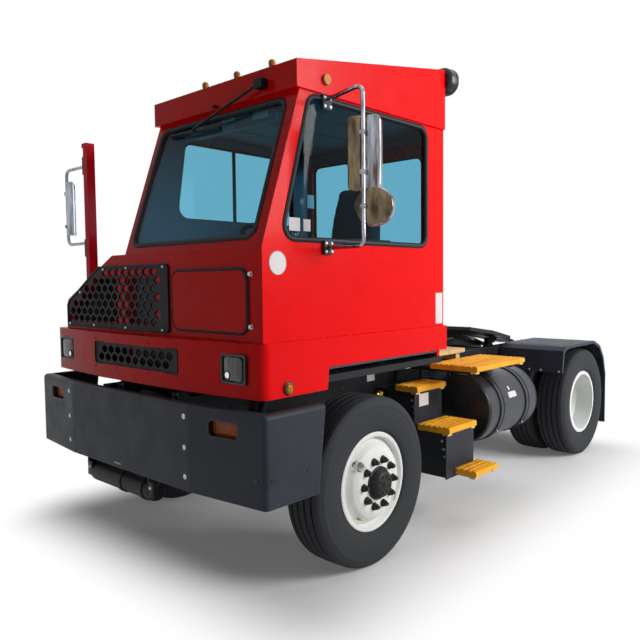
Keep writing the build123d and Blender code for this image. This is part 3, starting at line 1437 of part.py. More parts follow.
left_head = mirror_head(arm_x, arm_y, left_turn, 0.0, 2225.0, 2620.0, 180.0, (2320.0, 2525.0))
right_head = mirror_head(right_arm_x, right_arm_y, right_turn, 106.0, 2117.0, 2518.0, 180.0, (2190.0, 2440.0))
round_x, round_z = 52.0, 2143.0
round_back = arm_radius + 3.0
left_round = rod((round_x, round_back, round_z), (round_x, round_back + head_depth, round_z), round_radius)
left_round = fillet(left_round.edges().filter_by(GeomType.CIRCLE).sort_by(Axis.Y)[0], head_edge)
round_strap = block(-clamp_half, clamp_half, -clamp_half, round_back + 2,
                    round_z - clamp_height / 2, round_z + clamp_height / 2)
left_round += round_strap - upright(0, 0, round_z - clamp_height, round_z + clamp_height, arm_radius + fit)
left_round = Pos(arm_x, arm_y, 0) * Rot(0, 0, left_turn) * left_round
save("mirror_heads", left_head, left_round, right_head)

# ---------------------------------------------------------------- boom and fifth wheel
boom_in, boom_out = 240.0, 300.0
boom_low, boom_high = 962.0, 1054.0
boom_end = kingpin_y + 70.0
pivot_ear = 26.0
pivot_pin = 22.0
boom_tube_half = rail_web_inner - 2.0
boom = cross_rod(-boom_tube_half, boom_tube_half, boom_pivot_y, boom_pivot_z, boom_tube)
for side in (-1, 1):
    x0, x1 = sorted((side * boom_in, side * boom_out))
    boom += block(x0, x1, boom_pivot_y, boom_end, boom_low, boom_high)
    boom += side_prism([(kingpin_y - 60, boom_high - past), (kingpin_y + 60, boom_high - past),
                        (kingpin_y + pivot_ear, fifth_pivot_z), (kingpin_y - pivot_ear, fifth_pivot_z)], x0,
                        x1)
    boom += cross_rod(x0, x1, kingpin_y, fifth_pivot_z, pivot_ear)
    boom -= cross_rod(x0 - past, x1 + past, kingpin_y, fifth_pivot_z, pivot_pin + pin_gap)
for y in (lift_head_y + 50, boom_end - 60):
    boom += block(-boom_in, boom_in, y, y + 60, boom_low, boom_high)
for side in (-1, 1):
    for edge in (-1, 1):
        x = side * lift_x + edge * (lift_eye_width / 2 + ear_offset)
        boom += block(x - 7, x + 7, lift_head_y - 26, lift_head_y + 60, lift_head_z - 26, lift_head_z + 26)
    boom += cross_rod(side * lift_x - lift_eye_width / 2 - 18, side * lift_x + lift_eye_width / 2 + 18,
                      lift_head_y, lift_head_z, cylinder_pin)
save("boom", boom)

horn = 332.0
throat = kingpin_bore / 2
throat_y = 120.0
mouth = 150.0
coupler_top = fifth_top + 8.0
coupler_low = coupler_top - fifth_thick
half_outline = [(300, -fifth_front), (fifth_half, -250), (fifth_half, throat_y), (horn, 190),
                (horn - 10, fifth_rear),
                (mouth, fifth_rear), (throat + 4, throat_y)]
coupler = plan_prism(half_outline + [(-x, y) for x, y in reversed(half_outline)], coupler_low, coupler_top)
coupler -= plan_prism([(-throat, -past), (throat, -past), (throat + 5, throat_y + 10),
                       (-throat - 5, throat_y + 10)],
                      0, coupler_top + past)
coupler -= upright(0, 0, 0, coupler_top + past, throat)
for side in (-1, 1):
    x0, x1 = sorted((side * (boom_out + 6), side * (boom_out + 32)))
    coupler += side_prism([(-70, coupler_low + past), (70, coupler_low + past), (24, -20), (-24, -20)], x0,
                          x1)
    coupler += cross_rod(side * (boom_in + 4), side * (boom_out + 30), 0, 0, pivot_pin)
save("fifth_wheel", Pos(0, kingpin_y, fifth_pivot_z) * Rot(-fifth_rest_tilt, 0, 0) * coupler)

# ---------------------------------------------------------------- hydraulic cylinders
eye_wall = 14.0
barrel_floor = 34.0
gland = 30.0


def cylinder_pair(foot, head, x, barrel_size, rod_size, bore, eye, share):
    """Barrel and rod of one hydraulic cylinder in the plane at x, from foot to head."""
    base, tip = Vector(x, *foot), Vector(x, *head)
    run = tip - base
    along = run / run.length
    end = base + along * (run.length * share)
    start = base + along * (cylinder_pin + 20)
    half = lift_eye_width / 2
    barrel = rod(start, end, barrel_size)
    barrel += cross_rod(x - half, x + half, *foot, cylinder_pin + eye_wall)
    barrel += rod(base + along * cylinder_pin, start + along * 2, cylinder_pin + 5)
    barrel -= rod(base + along * (cylinder_pin + barrel_floor), end + along, rod_size + 3)
    barrel += tube(end - along * gland, end, barrel_size - past, rod_size + fit)
    barrel -= cross_rod(x - 2 * half, x + 2 * half, *foot, cylinder_pin + pin_gap)
    piston = rod(base + along * (cylinder_pin + barrel_floor + 10), tip - along * (eye - 6), rod_size)
    piston += cross_rod(x - half, x + half, *head, eye)
    piston -= cross_rod(x - 2 * half, x + 2 * half, *head, bore)
    return barrel, piston


lift = [cylinder_pair((lift_foot_y, lift_foot_z), (lift_head_y, lift_head_z), x, 42, 22,
                      cylinder_pin + 9, cylinder_pin + 21, 0.78) for x in (-lift_x, lift_x)]
save("lift_barrels", lift[0][0], lift[1][0])
save("lift_rods", lift[0][1], lift[1][1])
barrel, piston = cylinder_pair((tilt_foot_y, tilt_foot_z), (tilt_head_y, tilt_head_z), tilt_cylinder_x, 32,
                               18,
                               30, 40, 0.86)
save("tilt_barrel", barrel)
save("tilt_rod", piston)
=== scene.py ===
from math import cos, pi, radians, sin
import bmesh
import bpy
from mathutils import Matrix, Vector


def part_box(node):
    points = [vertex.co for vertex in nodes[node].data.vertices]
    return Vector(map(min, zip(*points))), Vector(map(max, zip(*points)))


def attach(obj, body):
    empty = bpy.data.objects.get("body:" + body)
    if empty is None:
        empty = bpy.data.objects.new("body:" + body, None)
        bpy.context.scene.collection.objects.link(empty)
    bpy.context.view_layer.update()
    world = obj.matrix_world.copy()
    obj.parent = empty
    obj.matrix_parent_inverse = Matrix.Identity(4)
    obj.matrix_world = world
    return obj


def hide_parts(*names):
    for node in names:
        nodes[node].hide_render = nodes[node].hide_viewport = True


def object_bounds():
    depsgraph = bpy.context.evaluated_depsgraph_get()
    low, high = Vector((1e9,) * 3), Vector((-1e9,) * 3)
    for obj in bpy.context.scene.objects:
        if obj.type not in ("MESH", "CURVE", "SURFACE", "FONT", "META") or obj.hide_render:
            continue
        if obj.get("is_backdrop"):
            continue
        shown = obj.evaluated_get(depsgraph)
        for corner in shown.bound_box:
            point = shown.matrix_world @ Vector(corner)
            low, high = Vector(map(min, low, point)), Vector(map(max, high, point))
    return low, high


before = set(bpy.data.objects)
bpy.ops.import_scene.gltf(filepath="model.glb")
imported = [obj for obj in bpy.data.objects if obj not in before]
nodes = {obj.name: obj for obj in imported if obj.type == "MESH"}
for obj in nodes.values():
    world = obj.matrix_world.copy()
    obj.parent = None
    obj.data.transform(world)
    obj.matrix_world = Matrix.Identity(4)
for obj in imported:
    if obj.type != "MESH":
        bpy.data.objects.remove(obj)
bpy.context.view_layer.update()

# ---------------------------------------------------------------- shared sizes, in mm
MM = 0.001
AXLE_Y, DRIVE_Y = -1510.0, 1900.0
TYRE_R = 525.0
FRONT_X, DUAL_OUTER_X, DUAL_INNER_X = 980.0, 940.0, 610.0
BELT_Z, SCREEN_LEAN = 1930.0, 0.341
WALL_LEFT, WALL_RIGHT = 1086.0, -190.0
SHEET = 30.0
CAB_FRONT, CAB_BACK = -2395.0, -710.0
FASCIA_FRONT, FASCIA_HALF, FASCIA_BOW = -2485.0, 1122.0, 73.0
BUMPER_FRONT, BUMPER_HALF, BUMPER_FLAT = -2550.0, 1196.0, 645.0
BUMPER_SWEEP = 60.0 / (BUMPER_HALF - BUMPER_FLAT)
RAIL_X = 430.0

LEFT, RIGHT, REAR, FORWARD = Vector((1, 0, 0)), Vector((-1, 0, 0)), Vector((0, 1, 0)), Vector((0, -1, 0))
UP, DOWN = Vector((0, 0, 1)), Vector((0, 0, -1))
SIDES = ((1, "left"), (-1, "right"))


def at(x, y, z):
    """Point of the frame, given in mm."""
    return Vector((x, y, z)) * MM


def low_high(node):
    """Lowest and highest corner of a CAD node, in mm."""
    low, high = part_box(node)
    return low / MM, high / MM


# ---------------------------------------------------------------- colour and nodes
def linear(code):
    """sRGB hex to the linear RGBA that a shader's socket takes."""
    parts = [int(code[i:i + 2], 16) / 255 for i in (1, 3, 5)]
    return [c / 12.92 if c <= 0.04045 else ((c + 0.055) / 1.055) ** 2.4 for c in parts] + [1.0]


def every(mm):
    """Scale of a pattern that repeats every so many mm."""
    return 1 / (mm * MM)


def add(tree, kind, sockets=None, **settings):
    """Adds a node: settings are its own options, and sockets its inputs, each a value or another output."""
    made = tree.nodes.new(kind)
    for key, value in settings.items():
        setattr(made, key, value)
    for key, value in (sockets or {}).items():
        if isinstance(value, bpy.types.NodeSocket):
            tree.links.new(value, made.inputs[key])
        else:
            made.inputs[key].default_value = value
    return made


def blank(name):
    """New material, with its empty tree and the piece's own coordinates."""
    material = bpy.data.materials.new(name)
    material.use_nodes = True
    tree = material.node_tree
    tree.nodes.clear()
    return material, tree, add(tree, "ShaderNodeTexCoord").outputs["Object"]


def finished(material, tree, share, dark, light, relief, sockets, ease_mm=0.0, wear_and_sheen=None, strength=1.0):
    """Closes a material: a tone from dark to light by the share, edges eased by ease_mm and painted towards
    an edge (tone, most), a painted highlight with a little rubbed wear, a relief of (height, mm deep), and
    the shader with its other sockets."""
    colour = add(tree, "ShaderNodeMix", {"Factor": share, "A": dark, "B": light}, data_type="RGBA")
    raised, sockets = {"Strength": strength}, dict(sockets)
    if ease_mm:
        raised["Normal"] = add(tree, "ShaderNodeBevel", {"Radius": ease_mm * MM}, samples=4).outputs["Normal"]
    # edges painted towards a paler tone where the eased normal turns from the flat one: a painted highlight,
    # with some wear
    if wear_and_sheen:
        flat = add(tree, "ShaderNodeNewGeometry").outputs["Normal"]
        bend = add(tree, "ShaderNodeVectorMath", {0: raised["Normal"], 1: flat}, operation="DOT_PRODUCT")
        edge = add(tree, "ShaderNodeMapRange", {"Value": bend.outputs["Value"], "From Min": 0.995,
                                                "From Max": 0.86, "To Max": wear_and_sheen[1]})
        colour = add(tree, "ShaderNodeMix", {"Factor": edge.outputs["Result"], "A": colour.outputs["Result"],
                                             "B": linear(wear_and_sheen[0])}, data_type="RGBA")
    if relief:
        height, deep_mm = relief
        sockets["Normal"] = add(tree, "ShaderNodeBump", {"Height": height, "Distance": deep_mm * MM,
                                                         **raised}).outputs["Normal"]
    shader = add(tree, "ShaderNodeBsdfPrincipled", {"Base Color": colour.outputs["Result"], **sockets})
    add(tree, "ShaderNodeOutputMaterial", {"Surface": shader.outputs["BSDF"]})
    return material


# ---------------------------------------------------------------- finishes
def sprayed_enamel(name, light, dark, gloss=(0.22, 0.34), wear_and_sheen=None):
    """Two-pack enamel sprayed on sheet steel: one deep colour that drifts a little from panel to panel,
    a soft orange-peel ripple 7 mm across in the gloss, and edges where the coat is thin painted a paler tone,
    a painted highlight."""
    material, tree, place = blank(name)
    drift = add(tree, "ShaderNodeTexNoise", {"Vector": place, "Scale": every(550), "Detail": 2.0})
    haze = add(tree, "ShaderNodeTexNoise", {"Vector": place, "Scale": every(130), "Detail": 4.0})
    rough = add(tree, "ShaderNodeMapRange", {"Value": haze.outputs["Fac"], "From Min": 0.3, "From Max": 0.7,
                                             "To Min": gloss[0], "To Max": gloss[1]})
    peel = add(tree, "ShaderNodeTexNoise", {"Vector": place, "Scale": every(7), "Detail": 1.0})
    return finished(
        material, tree, drift.outputs["Fac"], linear(dark), linear(light), (peel.outputs["Fac"], 0.1),
        {"Roughness": rough.outputs["Result"], "Specular IOR Level": 0.06, "Coat Weight": 0.05,
         "Coat Roughness": 0.1}, 4.0, (wear_and_sheen, 0.8) if wear_and_sheen else None, 0.6)


def baked_powder(name, light, dark, skin_mm=4.0, rough=(0.42, 0.58), shine=0.2, wear_and_sheen=None):
    """Powder baked on steel: low sheen over a fine pebbled skin, a trace of road dust that lies in patches
    a hand wide, and edges painted paler: a painted edge highlight, with some rubbing where boots and weather
    reach them."""
    material, tree, place = blank(name)
    dust = add(tree, "ShaderNodeTexNoise", {"Vector": place, "Scale": every(160), "Detail": 5.0,
                                            "Roughness": 0.6})
    share = add(tree, "ShaderNodeMapRange", {"Value": dust.outputs["Fac"], "From Min": 0.35,
                                             "From Max": 0.65})
    level = add(tree, "ShaderNodeMapRange", {"Value": dust.outputs["Fac"], "From Min": 0.3, "From Max": 0.7,
                                             "To Min": rough[0], "To Max": rough[1]})
    pebble = add(tree, "ShaderNodeTexNoise", {"Vector": place, "Scale": every(skin_mm), "Detail": 1.0})
    return finished(
        material, tree, share.outputs["Result"], linear(dark), linear(light), (pebble.outputs["Fac"], 0.12),
        {"Roughness": level.outputs["Result"], "Specular IOR Level": shine}, 5.0,
        (wear_and_sheen, 0.9) if wear_and_sheen else None)


def moulded_rubber(name, light, dark, grain_mm=3.0, depth_mm=0.15):
    """Carbon-black rubber out of a mould: matt, greyed by dust in broad soft patches, with a fine grain."""
    material, tree, place = blank(name)
    dust = add(tree, "ShaderNodeTexNoise", {"Vector": place, "Scale": every(220), "Detail": 6.0})
    grain = add(tree, "ShaderNodeTexNoise", {"Vector": place, "Scale": every(grain_mm), "Detail": 3.0})
    level = add(tree, "ShaderNodeMapRange", {"Value": dust.outputs["Fac"], "To Min": 0.62, "To Max": 0.82})
    return finished(
        material, tree, dust.outputs["Fac"], linear(dark), linear(light), (grain.outputs["Fac"], depth_mm),
        {"Roughness": level.outputs["Result"], "Specular IOR Level": 0.25})


def grit_paint(name, light, dark, rubbed):
    """Safety paint with sand in it on a tread plate: grains, drawn 4 mm wide so that they show, make a dry
    sparkle, and the high places are rubbed to a browner colour by boots."""
    material, tree, place = blank(name)
    grains = add(tree, "ShaderNodeTexVoronoi", {"Vector": place, "Scale": every(4)}).outputs["Distance"]
    traffic = add(tree, "ShaderNodeTexNoise", {"Vector": place, "Scale": every(90), "Detail": 6.0,
                                               "Roughness": 0.65})
    tone = add(tree, "ShaderNodeMix", {"Factor": grains, "A": linear(dark), "B": linear(light)},
               data_type="RGBA")
    wear = add(tree, "ShaderNodeMapRange", {"Value": traffic.outputs["Fac"], "From Min": 0.55,
                                            "From Max": 0.72, "To Max": 0.7})
    level = add(tree, "ShaderNodeMapRange", {"Value": traffic.outputs["Fac"], "To Min": 0.45, "To Max": 0.7})
    return finished(
        material, tree, wear.outputs["Result"], tone.outputs["Result"], linear(rubbed), (grains, 0.6),
        {"Roughness": level.outputs["Result"], "Specular IOR Level": 0.25}, 3.0)


def polished_metal(name, light, dark, rough=(0.08, 0.18), streak_mm=(60.0, 400.0)):
    """Plated or polished metal: bright, with slow streaks of a darker tone, drawn long and upright as
    streak_mm gives, and a gloss that follows them; on the mirror backs the streaks are a painted reflection."""
    material, tree, place = blank(name)
    across, along = streak_mm
    drawn = add(tree, "ShaderNodeMapping", {"Vector": place,
                                            "Scale": (every(across), every(across), every(along))})
    streak = add(tree, "ShaderNodeTexNoise", {"Vector": drawn.outputs["Vector"], "Scale": 1.0, "Detail": 3.0})
    share = add(tree, "ShaderNodeMapRange", {"Value": streak.outputs["Fac"], "From Min": 0.35,
                                             "From Max": 0.65}).outputs["Result"]
    level = add(tree, "ShaderNodeMapRange", {"Value": share, "To Min": rough[0], "To Max": rough[1]})
    return finished(material, tree, share, linear(dark), linear(light), None,
                    {"Metallic": 1.0, "Roughness": level.outputs["Result"]})


def woven_cloth(name, light, dark, thread_mm):
    """Seat cloth in a plain weave: two sets of threads that rise and dip over each other, with a dry sheen.
    The threads are drawn 5 mm wide so that they show."""
    material, tree, place = blank(name)
    scale = every(thread_mm) / BANDS_AT_SCALE_1
    warp, weft = (add(tree, "ShaderNodeTexWave", {"Vector": place, "Scale": scale, "Distortion": 0.6},
                      bands_direction=way).outputs["Fac"] for way in ("X", "DIAGONAL"))
    cross = add(tree, "ShaderNodeMath", {0: warp, 1: weft}, operation="MULTIPLY").outputs["Value"]
    return finished(material, tree, cross, linear(dark), linear(light), (cross, 0.6),
                    {"Roughness": 0.85, "Sheen Weight": 0.3, "Specular IOR Level": 0.2})


def grained_vinyl(name, light, dark):
    """Cab trim of foamed vinyl: a leather grain of small cells 5 mm across and a dull even sheen."""
    material, tree, place = blank(name)
    cells = add(tree, "ShaderNodeTexVoronoi", {"Vector": place, "Scale": every(5)},
                feature="DISTANCE_TO_EDGE")
    wear_and_sheen = add(tree, "ShaderNodeTexNoise", {"Vector": place, "Scale": every(200), "Detail": 3.0})
    level = add(tree, "ShaderNodeMapRange", {"Value": wear_and_sheen.outputs["Fac"], "To Min": 0.5, "To Max": 0.68})
    return finished(
        material, tree, wear_and_sheen.outputs["Fac"], linear(dark), linear(light), (cells.outputs["Distance"], 0.4),
        {"Roughness": level.outputs["Result"], "Specular IOR Level": 0.3})


def cast_iron(name, light, dark):
    """Iron as cast, under thin paint and old oil: a coarse sandy skin with darker wet patches."""
    material, tree, place = blank(name)
    sand = add(tree, "ShaderNodeTexNoise", {"Vector": place, "Scale": every(6), "Detail": 4.0})
    oil = add(tree, "ShaderNodeTexNoise", {"Vector": place, "Scale": every(120), "Detail": 5.0})
    share = add(tree, "ShaderNodeMapRange", {"Value": oil.outputs["Fac"], "From Min": 0.4,
                                             "From Max": 0.6}).outputs["Result"]
    level = add(tree, "ShaderNodeMapRange", {"Value": share, "To Min": 0.35, "To Max": 0.7})
    return finished(material, tree, share, linear(dark), linear(light), (sand.outputs["Fac"], 0.5),
                    {"Roughness": level.outputs["Result"], "Specular IOR Level": 0.35})


def fluted_lens(name, light, dark, flute_mm, coat):
    """Moulded acrylic lens: a saturated colour, upright flutes that break up the gloss, a hard clear skin."""
    material, tree, place = blank(name)
    flutes = add(tree, "ShaderNodeTexWave", {"Vector": place, "Scale": every(flute_mm) / BANDS_AT_SCALE_1},
                 bands_direction="X")
    cloud = add(tree, "ShaderNodeTexNoise", {"Vector": place, "Scale": every(30), "Detail": 2.0})
    return finished(
        material, tree, cloud.outputs["Fac"], linear(dark), linear(light), (flutes.outputs["Fac"], 1.2),
        {"Roughness": 0.22, "Specular IOR Level": 0.12, "Coat Weight": coat})


def tinted_pane(name, tint, film):
    """Laminated safety glass: what is behind shows through a green-blue tint laid on at each face, and the
    outer skin mirrors more towards a glancing view, with a faint film of dust."""
    material, tree, place = blank(name)
    dust = add(tree, "ShaderNodeTexNoise", {"Vector": place, "Scale": every(300), "Detail": 4.0})
    rough = add(tree, "ShaderNodeMapRange", {"Value": dust.outputs["Fac"], "To Min": 0.0, "To Max": film})
    clear = add(tree, "ShaderNodeBsdfTransparent", {"Color": linear(tint)})
    mirror = add(tree, "ShaderNodeBsdfGlossy", {"Color": linear("#ffffff"),
                                                "Roughness": rough.outputs["Result"]})
    edge = add(tree, "ShaderNodeFresnel", {"IOR": 1.45})
    inner = add(tree, "ShaderNodeNewGeometry")
    outer = add(tree, "ShaderNodeMath", {0: 1.0, 1: inner.outputs["Backfacing"]}, operation="SUBTRACT")
    share = add(tree, "ShaderNodeMath", {0: edge.outputs["Fac"], 1: outer.outputs["Value"]},
                operation="MULTIPLY")
    weak = add(tree, "ShaderNodeMath", {0: share.outputs["Value"], 1: MIRROR_SHARE}, operation="MULTIPLY")
    both = add(tree, "ShaderNodeMixShader", {0: weak.outputs["Value"], 1: clear.outputs["BSDF"],
                                             2: mirror.outputs["BSDF"]})
    add(tree, "ShaderNodeOutputMaterial", {"Surface": both.outputs["Shader"]})
    return material


# about how many bands and gaps a metre of a wave pattern of scale 1 has
BANDS_AT_SCALE_1 = 6.28
# part of clean glass's mirroring that a pane keeps
MIRROR_SHARE = 0.2
# the edge colours given to the red enamel and the three powders below paint the edges paler: a painted
# highlight along the edges, with some wear
red_enamel = sprayed_enamel("red_two_pack_enamel", "#f0070b", "#dc0408", wear_and_sheen="#f21c20")
post_enamel = sprayed_enamel("red_post_enamel", "#f40c28", "#e00a22", gloss=(0.3, 0.42))
white_enamel = sprayed_enamel("white_wheel_enamel", "#eceeeb", "#dadcd9", gloss=(0.3, 0.45))
charcoal_powder = baked_powder("charcoal_bumper_powder", "#2a2f39", "#20242c", wear_and_sheen="#6a6e78")
chassis_powder = baked_powder("black_chassis_powder", "#181a1e", "#101216", wear_and_sheen="#2e3136")
riser_powder = baked_powder("slate_riser_powder", "#2b2e35", "#1f2227", wear_and_sheen="#4c4f56")
tank_powder = baked_powder("black_tank_powder", "#272d36", "#1c2129", rough=(0.25, 0.4), shine=0.45)
fender_poly = baked_powder("moulded_black_polyethylene", "#343b47", "#2a303a", skin_mm=6.0)
grille_powder = baked_powder("black_grille_powder", "#15151d", "#0e0e14", shine=0.12)
lamp_shell = baked_powder("black_lamp_shell", "#1c1c20", "#141417", rough=(0.25, 0.4), shine=0.4)
trim_black = baked_powder("black_plastic_trim", "#17181b", "#101113", rough=(0.35, 0.5), shine=0.25)
tread_paint = grit_paint("yellow_grit_step_paint", "#f6b62f", "#e9a01c", "#b5761a")
deck_paint = grit_paint("pale_grit_deck_paint", "#ecca94", "#dcb87e", "#b08c58")
tab_paint = grit_paint("cream_step_edge_paint", "#e6d3a0", "#d6bf86", "#b59a5c")
tyre_rubber = moulded_rubber("tyre_rubber", "#303236", "#242528")
seal_rubber = moulded_rubber("window_seal_rubber", "#0f1216", "#0a0c0f", grain_mm=2.0, depth_mm=0.05)
filler_rubber = moulded_rubber("seal_filler_strip", "#4a4f57", "#3a3f47", grain_mm=2.0, depth_mm=0.03)
hose_rubber = moulded_rubber("hose_and_flap_rubber", "#1d1e20", "#151617")
chrome = polished_metal("chrome_plate", "#a6a9b0", "#6c7078", streak_mm=(20.0, 120.0))
# the brown dark tone and streaks of this mirror-back metal, and the next one's bronze colour, are a painted
# reflection of the ground and surroundings
stainless_painted_reflection = polished_metal("stainless_with_painted_reflection", "#a9b0bb", "#54463f", rough=(0.12, 0.24),
                           streak_mm=(24.0, 240.0))
bronze_painted_reflection = polished_metal("steel_with_painted_bronze_reflection", "#7d6f58", "#3f342d", rough=(0.14, 0.26), streak_mm=(50.0, 180.0))
zinc = polished_metal("zinc_plated_steel", "#b9bbbd", "#8e9194", rough=(0.3, 0.45), streak_mm=(12.0, 12.0))
brass = polished_metal("brass_fitting", "#c9a55a", "#94743a", rough=(0.25, 0.4), streak_mm=(10.0, 10.0))
nut_steel = polished_metal("oiled_black_steel", "#4a4744", "#2c2a29", rough=(0.35, 0.5),
                           streak_mm=(10.0, 10.0))
silvered = polished_metal("silvered_glass", "#dfe5ea", "#cdd5db", rough=(0.01, 0.03))
seat_cloth = woven_cloth("charcoal_seat_cloth", "#56616d", "#3d4650", 5.0)
trim_vinyl = grained_vinyl("slate_cab_vinyl", "#646d7a", "#525a66")
dash_vinyl = grained_vinyl("grey_dash_vinyl", "#77727f", "#605c68")
wheel_vinyl = grained_vinyl("black_wheel_rim_vinyl", "#232428", "#1a1b1e")
white_vinyl = grained_vinyl("blank_white_label_vinyl", "#e6e2e2", "#d2cbcc")
console_label = grained_vinyl("blank_console_label_vinyl", "#c9ccd0", "#b5b9be")
block_iron = cast_iron("engine_cast_iron", "#2e3034", "#17181a")
plate_iron = cast_iron("coupler_cast_iron", "#26272a", "#0d0d0f")
amber_lens = fluted_lens("amber_acrylic_lens", "#c25a18", "#98440c", 9.0, 0.08)
marker_lens = fluted_lens("yellow_amber_marker_lens", "#cf8418", "#a35f0c", 9.0, 0.08)
red_lens = fluted_lens("red_acrylic_lens", "#b01318", "#7d0c10", 9.0, 0.4)
clear_lens = fluted_lens("smoked_lamp_lens", "#3a3c3f", "#222325", 16.0, 0.8)
pane = tinted_pane("green_tinted_safety_glass", "#c9e6ee", 0.05)

FINISH = {
    red_enamel: ("cab_fascia", "cab_front", "cab_wall_left", "cab_wall_right", "cab_wall_back", "cab_roof",
                 "hood", "access_panel", "rear_door"),
    post_enamel: ("mirror_post",),
    chassis_powder: ("frame_rails", "front_axle", "rear_axle", "air_tank", "boom", "knuckle_left",
                     "knuckle_right", "tie_rod", "lift_barrels", "tilt_barrel", "battery_box", "cab_floor"),
    riser_powder: ("step_boxes",),
    tank_powder: ("fuel_tank",),
    charcoal_powder: ("front_bumper",),
    fender_poly: ("rear_fenders",),
    deck_paint: ("deck_plate",),
    tread_paint: ("step_treads",),
    block_iron: ("engine_and_radiator",),
    plate_iron: ("fifth_wheel",),
    grille_powder: ("grilles", "wipers"),
    lamp_shell: ("lamps",),
    dash_vinyl: ("dashboard",),
    wheel_vinyl: ("steering_wheel",),
    seat_cloth: ("seat_cushions",),
    tyre_rubber: ("tyre_front_left", "tyre_front_right", "tyre_rear_left", "tyre_rear_right"),
    white_enamel: ("rim_front_left", "rim_front_right", "rim_rear_left", "rim_rear_right"),
    chrome: ("mirror_arms", "lift_rods", "tilt_rod"),
    stainless_painted_reflection: ("mirror_heads",),
    amber_lens: ("bumper_signals",),
    marker_lens: ("marker_lamps",),
    pane: ("windscreen", "side_glass", "back_glass", "rear_door_glass"),
}
for finish, names in FINISH.items():
    for name in names:
        mesh = nodes[name].data
        mesh.materials.clear()
        mesh.materials.append(finish)


# ---------------------------------------------------------------- mesh tools
def skin(mesh, rings, loop=False):
    """Joins rings of points with faces; open ends are capped."""
    rows = [[mesh.verts.new(point) for point in ring] for ring in rings]
    pairs = list(zip(rows, rows[1:])) + ([(rows[-1], rows[0])] if loop else [])
    for a, b in pairs:
        for i in range(len(a)):
            j = (i + 1) % len(a)
            mesh.faces.new((a[i], a[j], b[j], b[i]))
    if not loop:
        mesh.faces.new(rows[0][::-1])
        mesh.faces.new(rows[-1])


def turned(mesh, centre, axis, profile, steps=32, loop=False):
    """Solid of revolution: the profile is (distance along the axis, radius), in mm."""
    axis = Vector(axis).normalized()
    side = axis.orthogonal().normalized()
    other = axis.cross(side)
    spokes = [side * cos(2 * pi * k / steps) + other * sin(2 * pi * k / steps) for k in range(steps)]
    skin(mesh, [[centre + (axis * along + spoke * radius) * MM for spoke in spokes]
                for along, radius in profile], loop)


def block(mesh, low, high):
    """Box between two corners, and its points."""
    made = bmesh.ops.create_cube(mesh, size=1.0)["verts"]
    for vert in made:
        vert.co = Vector(((low[i] + high[i]) / 2 + vert.co[i] * (high[i] - low[i]) for i in range(3)))
    return made


def slab(mesh, low, high, soft=2.0, spin=None):
    """Block between two corners in mm, with its edges eased; spin turns it about a point and axis."""
    made = block(mesh, Vector(low) * MM, Vector(high) * MM)
    edges = list({edge for vert in made for edge in vert.link_edges})
    eased = bmesh.ops.bevel(mesh, geom=edges, offset=soft * MM, segments=2, affect="EDGES", profile=0.6)
    if spin:
        point, matrix = spin
        verts = {vert for face in eased["faces"] for vert in face.verts}
        verts |= {vert for vert in made if vert.is_valid}
        bmesh.ops.rotate(mesh, verts=list(verts), cent=point, matrix=matrix)


def middle_of(path):
    """Mean of a path's points."""
    return sum(path, Vector()) / len(path)


def rounded(corners, radius, steps=6):
    """Closed path round a flat polygon, with arcs of a radius in mm at its corners."""
    path = []
    count = len(corners)
    for i, corner in enumerate(corners):
        back = (corners[i - 1] - corner).normalized()
        ahead = (corners[(i + 1) % count] - corner).normalized()
        half = back.angle(ahead) / 2
        centre = corner + (back + ahead).normalized() * radius * MM / sin(half)
        cut = radius * MM * cos(half) / sin(half)
        start, end = corner + back * cut - centre, corner + ahead * cut - centre
        spread = start.angle(end)
        for k in range(steps + 1):
            t = k / steps
            path.append(centre + (start * sin((1 - t) * spread) + end * sin(t * spread)) / sin(spread))
    return path


def framed(place, low, high, radius, steps=6):
    """Closed path round a rectangle from low to high (u, v), on the face that place(u, v) gives."""
    (u0, v0), (u1, v1) = low, high
    return rounded([place(u, v) for u, v in ((u0, v0), (u1, v0), (u1, v1), (u0, v1))], radius, steps)


def band(mesh, path, normal, section, loop=True):
    """Sweeps a section of (outwards, upwards) points in mm along a flat path whose plane has this normal."""
    normal = Vector(normal).normalized()
    middle = middle_of(path)
    count = len(path)
    rings = []
    for i, point in enumerate(path):
        before = path[i - 1] if loop or i else point
        after = path[(i + 1) % count] if loop or i < count - 1 else point
        out = (after - before).normalized().cross(normal)
        if loop and out.dot(point - middle) < 0:
            out = -out
        rings.append([point + (out * u + normal * v) * MM for u, v in section])
    skin(mesh, rings, loop)


def domed(mesh, path, normal, rise, back=2.0):
    """Lens or cap over a closed path, bulging by rise mm."""
    normal = Vector(normal).normalized()
    middle = middle_of(path)
    rings = [[p - normal * back * MM for p in path]]
    for share in (1.0, 0.98, 0.94, 0.86, 0.7, 0.45, 0.15):
        rings.append([middle + (p - middle) * share + normal * rise * (1 - share ** 4) * MM for p in path])
    skin(mesh, rings)


def bolt(mesh, head, axis, size=18.0, height=8.0, washer=True):
    """Hexagon head with its washer; size is across the flats, and head the point it sits on."""
    corner = size / 2 / cos(pi / 6)
    if washer:
        turned(mesh, head, axis, [(-1.0, size * 0.68), (1.6, size * 0.68), (2.2, size * 0.62)], 20)
    turned(mesh, head, axis, [(0.0, corner), (height * 0.8, corner), (height, corner * 0.84)], 6)


def rivet(mesh, head, axis, radius=7.0, height=4.0):
    """Low domed head, as on a carriage bolt, screw or rivet."""
    turned(mesh, head, axis, [(-1.0, radius), (height * 0.3, radius), (height * 0.75, radius * 0.72),
                              (height, radius * 0.3)], 16)


def carried(name, data, finish, body):
    """Makes an object of the mesh or curve that rides on a body and takes a material slot's finish."""
    data.materials.append(finish)
    made = bpy.data.objects.new(name, data)
    bpy.context.scene.collection.objects.link(made)
    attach(made, body)
    return made


